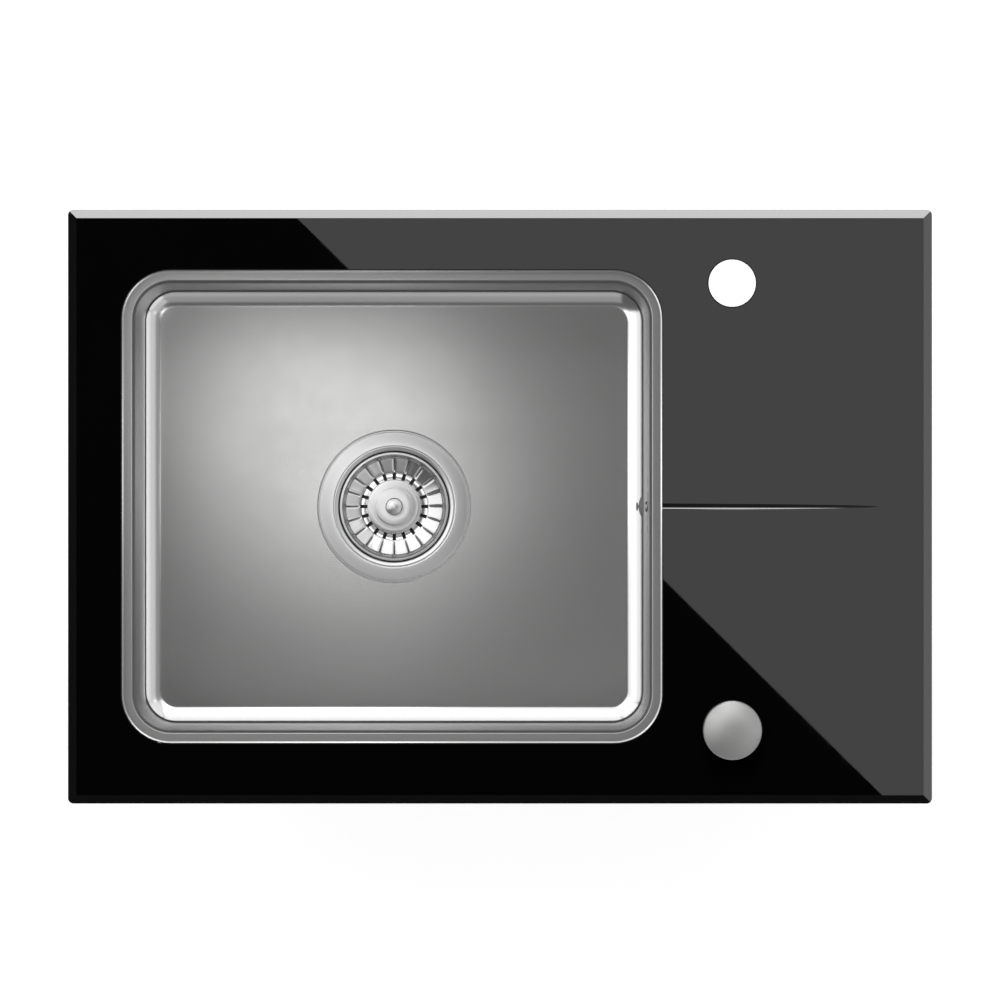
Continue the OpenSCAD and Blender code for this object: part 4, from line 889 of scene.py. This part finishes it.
@dataclass
class Deck:
    """The glass with its seal, and the knob that stands in its front hole."""

    knob: Pair = (0.172, -0.1655)
    radius: float = 0.0222
    top: float = 0.03
    crown: float = 0.048
    edge: float = 0.00125
    low: float = 0.0114
    wall: float = 0.0012

    def _knob(self) -> np.ndarray:
        """The knob's outline: z = top - crown + sqrt(crown^2 - r^2), a round edge, a skirt and a hollow with a hub."""
        r = np.linspace(0.0, self.radius - 0.0011, 44)
        dome = np.stack([r, self.top - self.crown + np.sqrt(self.crown**2 - r**2)], axis=1)
        tilt = np.arctan(r[-1] / np.sqrt(self.crown**2 - r[-1] ** 2))
        turn = np.linspace(np.pi / 2 - tilt, 0.0, 10)[1:]
        centre = dome[-1] - self.edge * np.array([np.sin(tilt), np.cos(tilt)])
        edge = centre + self.edge * np.stack([np.cos(turn), np.sin(turn)], axis=1)
        edge[:, 0] = np.minimum(edge[:, 0], self.radius)
        rim, low, under, inner = edge[-1, 0], self.low, dome[-1, 1] - 0.0024, self.radius - self.wall
        rest = [[rim, low + 0.0005], [rim - 0.0002, low + 0.0001], [rim - 0.0005, low], [inner, low], [inner, under],
                [0.007, under], [0.007, 0.0132], [0.00405, 0.0132], [0.00405, 0.025], [0.0, 0.025]]
        return np.concatenate([dome, edge, rest])

    def build(self, shop: Workshop) -> None:
        """Builds the knob and dresses the glass, the seal and the through-deck fitting."""
        shop.piece("knob_turned", turned(self._knob(), self.knob, 160), "control_knob")
        shop.dress("glass_top", "worktop_seal", "knob_gasket", "knob_spindle", "cable_slider")
        shop.ease(knob_housing=0.0003, knob_washer=0.0004, knob_backnut=0.0006, knob_end_cap=0.0004)


@dataclass
class Overflow:
    """The screwed head behind the bowl's wall and the ribbed pipe to the waste."""

    spout: Pair = (0.126524, -0.068)
    inlet: Pair = (-0.005, -0.1958)
    bend: float = 0.055
    radius: float = 0.0125
    bore: float = 0.01
    rib: float = 0.0012
    pitch: float = 0.004
    rings: int = 8

    def _pipe(self) -> Surface:
        """The pipe's path and outer radius.

        The path runs down from the spout, round a quarter circle and level to the inlet. Between
        plain ends two radii long the radius is r + rib (1/2 - 1/2 cos(2 pi s / pitch))^0.8.
        """
        drop = self.spout[1] - self.inlet[1] - self.bend
        arc = self.bend * np.pi / 2
        total, cuff = drop + arc + self.spout[0] - self.bend - self.inlet[0], 2 * self.radius
        ribs = int((total - 2 * cuff) / self.pitch)
        ribbed = np.linspace(cuff, total - cuff, ribs * self.rings + 1)
        s = np.concatenate([[0.0, cuff * 0.5], ribbed, [total - cuff * 0.5, total]])
        a = np.clip((s - drop) / arc, 0.0, 1.0) * np.pi / 2
        x = self.spout[0] - self.bend * (1 - np.cos(a)) - np.clip(s - drop - arc, 0.0, None)
        z = self.spout[1] - np.minimum(s, drop) - self.bend * np.sin(a)
        wave = (s - cuff) / (total - 2 * cuff) * ribs
        inside = (s > cuff) & (s < total - cuff)
        swell = np.where(inside, np.abs(0.5 - 0.5 * np.cos(TAU * wave)) ** 0.8, 0.0)
        return np.stack([x, np.zeros_like(s), z], axis=1), self.radius + self.rib * swell

    def build(self, shop: Workshop) -> None:
        """Builds the pipe and dresses the head, screw, gasket and collars."""
        shop.piece("ribbed_pipe", swept(*self._pipe(), self.bore, 36), "overflow_hose", crease=60.0)
        shop.ease(overflow_head=0.0006, overflow_screw=0.0003, hose_collars=0.0005)
        shop.dress("overflow_gasket")


@dataclass
class Waste:
    """The moulded body under the floor with its lever, and the cable to the knob."""

    radius: float = 0.003
    bore: float = 0.0016
    tail: Pair = (-0.08, 0.0)
    tail_bore: float = 0.02
    tail_radius: float = 0.0239
    collar: float = 0.0022
    thread: Pair = (0.0026, 0.0009)
    socket: Pair = (-0.059, -0.20873)
    knob: Pair = (0.1835, -0.1655)
    straight: float = 0.016
    route: tuple[Point, ...] = (
        (0.025, -0.060, -0.209), (0.070, -0.065, -0.205), (0.110, -0.077, -0.194), (0.143, -0.099, -0.172),
        (0.166, -0.128, -0.140), (0.179, -0.151, -0.104),
    )

    def _tail(self) -> np.ndarray:
        """The tail's outline: a bore, a collar and rings of a thread, r = crest - depth |sin(pi s / pitch)|^0.8."""
        low, high = (corner[2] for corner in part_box("outlet_tail"))
        pitch, depth = self.thread
        s = np.linspace(0.0, 1.0, 57) * (high - low - self.collar - 0.002)
        r = self.tail_radius - depth * np.abs(np.sin(np.pi * s / pitch)) ** 0.8
        ends = [[self.tail_bore, low], [self.tail_bore, high], [self.tail_radius - 0.0002, high]]
        threaded = np.stack([r, high - self.collar - s], axis=1)
        return np.concatenate([ends, threaded, [[self.tail_radius - 0.0011, low]]])

    def _cable(self) -> np.ndarray:
        """The cable's smooth route, straight for 32 mm out of each socket, between its node's two ends."""
        low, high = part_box("cable_sheath")
        start, end = np.array([low[0], *self.socket]), np.array([*self.knob, high[2]])
        out = self.straight * np.arange(3)[:, None]
        first = start + out * np.array([1.0, 0.0, 0.0])
        last = end - out[::-1] * np.array([0.0, 0.0, 1.0])
        return smooth_route(np.concatenate([first, self.route, last]), 12)

    def build(self, shop: Workshop) -> None:
        """Builds the cable's sheath and the threaded tail, and eases the moulded and turned parts."""
        path = self._cable()
        sheath = swept(path, np.full(len(path), self.radius), self.bore, 24)
        shop.piece("cable_outer", sheath, "cable_sheath", crease=60.0)
        shop.ease(waste_body=0.0008, lever_cover=0.0005, lift_lever=0.0003, cable_ferrule=0.0003)
        shop.piece("threaded_tail", turned(self._tail(), self.tail, 96), "outlet_tail", crease=50.0)
        shop.dress("lever_seal", "wire_clevis", "cable_core")


@dataclass
class Fixing:
    """The rails, brackets, screws and claws that hold the deck to the worktop."""

    count: int = 6
    edge: float = 0.0003

    def build(self, shop: Workshop) -> None:
        """Eases the folded and pressed parts and dresses the adhesive."""
        shop.ease(fixing_rails=0.0004, clip_brackets=self.edge)
        for k in range(1, self.count + 1):
            shop.ease(**{f"clip_screw_{k}": self.edge, f"clip_claw_{k}": self.edge})
        shop.dress("rail_adhesive")


# ---- the studio


@dataclass(frozen=True)
class Card:
    """A flat card that glows for metal, glass and shadow but not for the camera.

    Attributes are its name, centre, half width and half height along across and upright, which are
    of unit length, and its glow.
    """

    name: str
    centre: np.ndarray
    across: np.ndarray
    upright: np.ndarray
    half: Pair
    glow: float

    @classmethod
    def level(cls, name: str, centre: Point, half: float, glow: float) -> Card:
        """A square card that lies level over the sink."""
        return cls(name, np.array(centre), np.array([1.0, 0.0, 0.0]), np.array([0.0, 1.0, 0.0]), (half, half), glow)

    @classmethod
    def tilted(cls, name: str, towards: Pair, tilt: float, away: float, half: Pair, glow: float) -> Card:
        """A card on a sphere round the deck, facing its middle.

        Args:
            name: the card's name.
            towards: the level direction in which it stands.
            tilt: degrees from straight up.
            away: its distance.
            half: half its width and height.
            glow: its strength.

        Returns:
            The card.
        """
        a = np.radians(tilt)
        level = np.array([*towards, 0.0]) / np.linalg.norm(towards)
        up = np.array([0.0, 0.0, 1.0])
        centre = away * (np.sin(a) * level + np.cos(a) * up)
        return cls(name, centre, np.cross(up, level), np.cos(a) * level - np.sin(a) * up, half, glow)

    def corners(self) -> np.ndarray:
        """Its corners: centre +/- half width across +/- half height upright."""
        signs = np.array([[-1, -1], [1, -1], [1, 1], [-1, 1]], dtype=float) * np.array(self.half)
        return self.centre + signs[:, :1] * self.across + signs[:, 1:] * self.upright


@dataclass
class Studio:
    """The camera, the pale floor and backdrop, and the cards that light the sink.

    Keys are level cards: name, centre, half width and glow. Bands are cards round the deck: side,
    direction, and the tilt, half height and glow of each; corners stand between them and have only
    the glow at each tilt of corner_tilts. Strips are narrow ones that the bevels and the drain
    groove mirror: name, direction, tilt, distance, half width and height, and glow.
    """

    eye: Point = (0.0, 0.0049, 8.958)
    lens: float = 435.0
    sensor: float = 36.0
    far: float = 400.0
    glass: float = 0.01
    world: float = 0.1
    floor: float = -0.262
    floor_radius: float = 60.0
    floor_glow: float = 0.78
    backdrop_radius: float = 30.0
    backdrop_reach: Pair = (-6.0, 12.0)
    backdrop_glow: float = 0.35
    sides: int = 96
    mirror_height: float = 11.5
    mirror_glow: float = 1.37
    mirrored_light: tuple[Pair, ...] = (
        (-0.1544, 0.2177), (-0.1060, 0.17), (0.084, 0.17), (0.115, 0.139), (0.115, -0.048), (0.287, -0.2177),
        (0.3177, -0.2177), (0.3177, 0.2177),
    )
    mirrored_dark: tuple[Pair, ...] = ((-0.3177, 0.2177), (-0.3177, -0.2177), (0.287, -0.2177), (-0.1544, 0.2177))
    keys: tuple[tuple[str, Point, float, float], ...] = (
        ("key", (-0.09, 0.035, 0.35), 0.04, 1.9), ("key_left", (-0.17, 0.07, 0.35), 0.04, 1.05),
        ("key_corner", (-0.225, 0.115, 0.35), 0.04, 0.45), ("key_front", (-0.13, 0.0, 0.35), 0.04, 0.4),
        ("key_rear", (-0.09, 0.07, 0.35), 0.04, 0.3), ("key_wide", (-0.12, 0.035, 0.6), 0.08, 0.5),
    )
    away: float = 3.0
    band_width: float = 0.8
    bands: tuple[tuple[str, Pair, tuple[Point, ...]], ...] = (
        ("rear", (0, 1), ((24.0, 0.3, 0.95), (36.0, 0.33, 1.1), (47.5, 0.27, 0.9))),
        ("front", (0, -1), ((13.5, 0.27, 0.4), (36.0, 0.33, 0.2), (47.5, 0.27, 0.3))),
        ("left", (-1, 0), ((24.0, 0.3, 0.8), (36.0, 0.33, 1.05), (47.5, 0.27, 0.8), (64.5, 0.28, 0.4))),
        ("right", (1, 0), ((24.0, 0.3, 0.15), (36.0, 0.33, 0.5), (47.5, 0.27, 0.75), (64.5, 0.28, 0.3))),
    )
    corner_tilts: tuple[tuple[float, Pair], ...] = ((24.0, (0.35, 0.3)), (36.0, (0.75, 0.33)), (47.5, (0.9, 0.27)))
    corners: tuple[tuple[str, Pair, Point], ...] = (
        ("left_rear", (-1, 1), (1.0, 1.1, 1.0)), ("right_rear", (1, 1), (0.5, 0.7, 0.8)),
        ("right_front", (1, -1), (0.2, 0.4, 0.7)),
    )
    strips: tuple[tuple[str, Pair, float, float, Pair, float], ...] = (
        ("rear_strip", (0, 1), 55.1, 2.78, (0.7, 0.08), 14.0), ("right_strip", (1, 0), 56.84, 2.86, (0.5, 0.08), 2.4),
        ("groove_high", (0, 1), 44.4, 3.0, (0.5, 0.443), 12.0), ("groove_low", (0, 1), 72.75, 3.0, (0.5, 0.8), 12.0),
    )

    def camera(self) -> None:
        """Sets the camera straight above, at the photograph's view."""
        data = bpy.data.cameras.new("camera")
        data.lens, data.sensor_width, data.clip_end = self.lens, self.sensor, self.far
        bpy.context.scene.camera = placed("camera", data)
        bpy.context.scene.camera.location = self.eye

    def _glow(self, name: str, strength: float, clear: bool = False, reflected: float | None = None) -> Material:
        """Makes a plain glowing material, which is black at 0.

        Args:
            name: the material's name.
            strength: how much it glows.
            clear: lets what is behind it through.
            reflected: the strength for all rays but the camera's, if it isn't the same.

        Returns:
            The material.
        """
        made, g = fresh_material(name)
        if reflected is not None:
            strength = g.remap(g.camera_ray(), 0.0, 1.0, reflected, strength)
        surface = g.out("Emission", Strength=strength)
        if clear:
            through = g.out("BsdfTransparent")
            surface = g.out("AddShader", i0=surface, i1=through)
        g.node("OutputMaterial", Surface=surface)
        return made

    def _staged(self, name: str, points: np.ndarray, faces: list[list[int]], material: Material) -> Object:
        """Makes a stage object from points and faces."""
        mesh = bpy.data.meshes.new(name)
        mesh.from_pydata(points.tolist(), [], faces)
        mesh.materials.append(material)
        made = placed(name, mesh)
        return made

    def cards(self) -> list[Card]:
        """Returns every card that lights the sink."""
        made = [Card.level(*key) for key in self.keys]
        for side, towards, bands in self.bands:
            for tilt, half, glow in bands:
                name = f"{side}_{tilt:.0f}"
                made.append(Card.tilted(name, towards, tilt, self.away, (self.band_width, half), glow))
        for side, towards, glows in self.corners:
            for (tilt, half), glow in zip(self.corner_tilts, glows):
                made.append(Card.tilted(f"{side}_{tilt:.0f}", towards, tilt, self.away, half, glow))
        return made + [Card.tilted(*strip) for strip in self.strips]

    def link(self, light: str, piece: Object, state: str) -> None:
        """Keeps a card's light off one piece, or on that piece alone.

        Args:
            light: the card's name.
            piece: the piece.
            state: EXCLUDE or INCLUDE.
        """
        linked = bpy.data.collections.new(light + "_link")
        linked.objects.link(piece)
        linked.collection_objects[0].light_linking.link_state = state
        bpy.data.objects[light].light_linking.receiver_collection = linked

    def mirrored(self) -> None:
        """Sets up the pair of cards that the glass shows as its diagonal reflection.

        A point p of the glass shows the point e + (p - e)(h + d) / d of the cards' plane, where e is
        the camera's axis, d its height above the glass and h the plane's.
        """
        rise = self.eye[2] - self.glass
        scale = (rise + self.mirror_height) / rise
        eye = np.array(self.eye[:2])
        cards = (("glow_side", self.mirrored_light, self.mirror_glow), ("dark_side", self.mirrored_dark, 0.0))
        for name, seen, glow in cards:
            points = lifted(eye + (np.array(seen) - eye) * scale, self.glass + self.mirror_height)
            made = self._staged(name, points, [list(range(len(seen)))], self._glow(name, glow))
            made.visible_camera = made.visible_shadow = made.visible_diffuse = False

    def _pale(self, name: str) -> Material:
        """Makes a pale material that shows white to the camera, metal and glass and still takes shadow.

        It lets light through from its back, so that it can't be seen from below.

        Args:
            name: the material's name.

        Returns:
            The material.
        """
        made, g = fresh_material(name)
        path = g.node("LightPath").outputs
        mirrored = g.math("MAXIMUM", path["Is Glossy Ray"], path["Is Transmission Ray"])
        seen = g.math("MAXIMUM", path["Is Camera Ray"], mirrored)
        paint = g.out("BsdfDiffuse", Color=(0.85, 0.85, 0.85, 1.0))
        light = g.out("Emission", Strength=g.math("MULTIPLY", seen, self.floor_glow))
        surface = g.out("AddShader", i0=paint, i1=light)
        clear = g.out("BsdfTransparent")
        back = g.node("NewGeometry").outputs["Backfacing"]
        mixed = g.out("MixShader", i0=back, i1=surface, i2=clear)
        g.node("OutputMaterial", Surface=mixed)
        return made

    def surroundings(self) -> None:
        """Makes the floor, a backdrop all round and a plain grey world that is white to the camera."""
        angle = np.arange(self.sides) * TAU / self.sides
        ring = np.stack([np.cos(angle), np.sin(angle)], axis=1)
        disc = lifted(self.floor_radius * ring, self.floor)
        self._staged("pale_floor", disc, [list(range(self.sides))], self._pale("floor"))
        wall = np.concatenate([lifted(self.backdrop_radius * ring, self.floor + z) for z in self.backdrop_reach])
        glow = self._glow("backdrop", 1.0, reflected=self.backdrop_glow)
        self._staged("backdrop", wall, grid_quads(2, self.sides).tolist(), glow).visible_diffuse = False
        world = bpy.data.worlds.new("plain")
        bpy.context.scene.world = world
        world.use_nodes = True
        world.node_tree.nodes.clear()
        g = Graph(world.node_tree)
        strength = g.remap(g.camera_ray(), 0.0, 1.0, self.world, 1.0)
        light = g.out("Background", Color=(1.0, 1.0, 1.0, 1.0), Strength=strength)
        g.node("OutputWorld", Surface=light)

    def build(self) -> None:
        """Sets the whole studio."""
        bpy.context.scene.view_settings.view_transform = "Standard"
        self.camera()
        self.surroundings()
        self.mirrored()
        for card in self.cards():
            made = self._staged(card.name, card.corners(), [[0, 1, 2, 3]], self._glow(card.name, card.glow, True))
            made.visible_camera = made.visible_shadow = False


def main() -> None:
    """Loads the frame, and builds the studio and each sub-assembly."""
    logging.basicConfig(level=logging.INFO, format="%(message)s")
    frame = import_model()
    studio = Studio()
    studio.build()
    shop = Workshop(frame)
    for assembly in (Deck(), Bowl(), Strainer(), Waste(), Overflow(), Fixing()):
        LOG.info("%s", type(assembly).__name__)
        assembly.build(shop)
    studio.link("rear_strip", bpy.data.objects["bowl_sheet"], "EXCLUDE")
    for light in ("groove_high", "groove_low"):
        studio.link(light, shop.nodes["glass_top"], "INCLUDE")


if __name__ == "__main__":
    main()
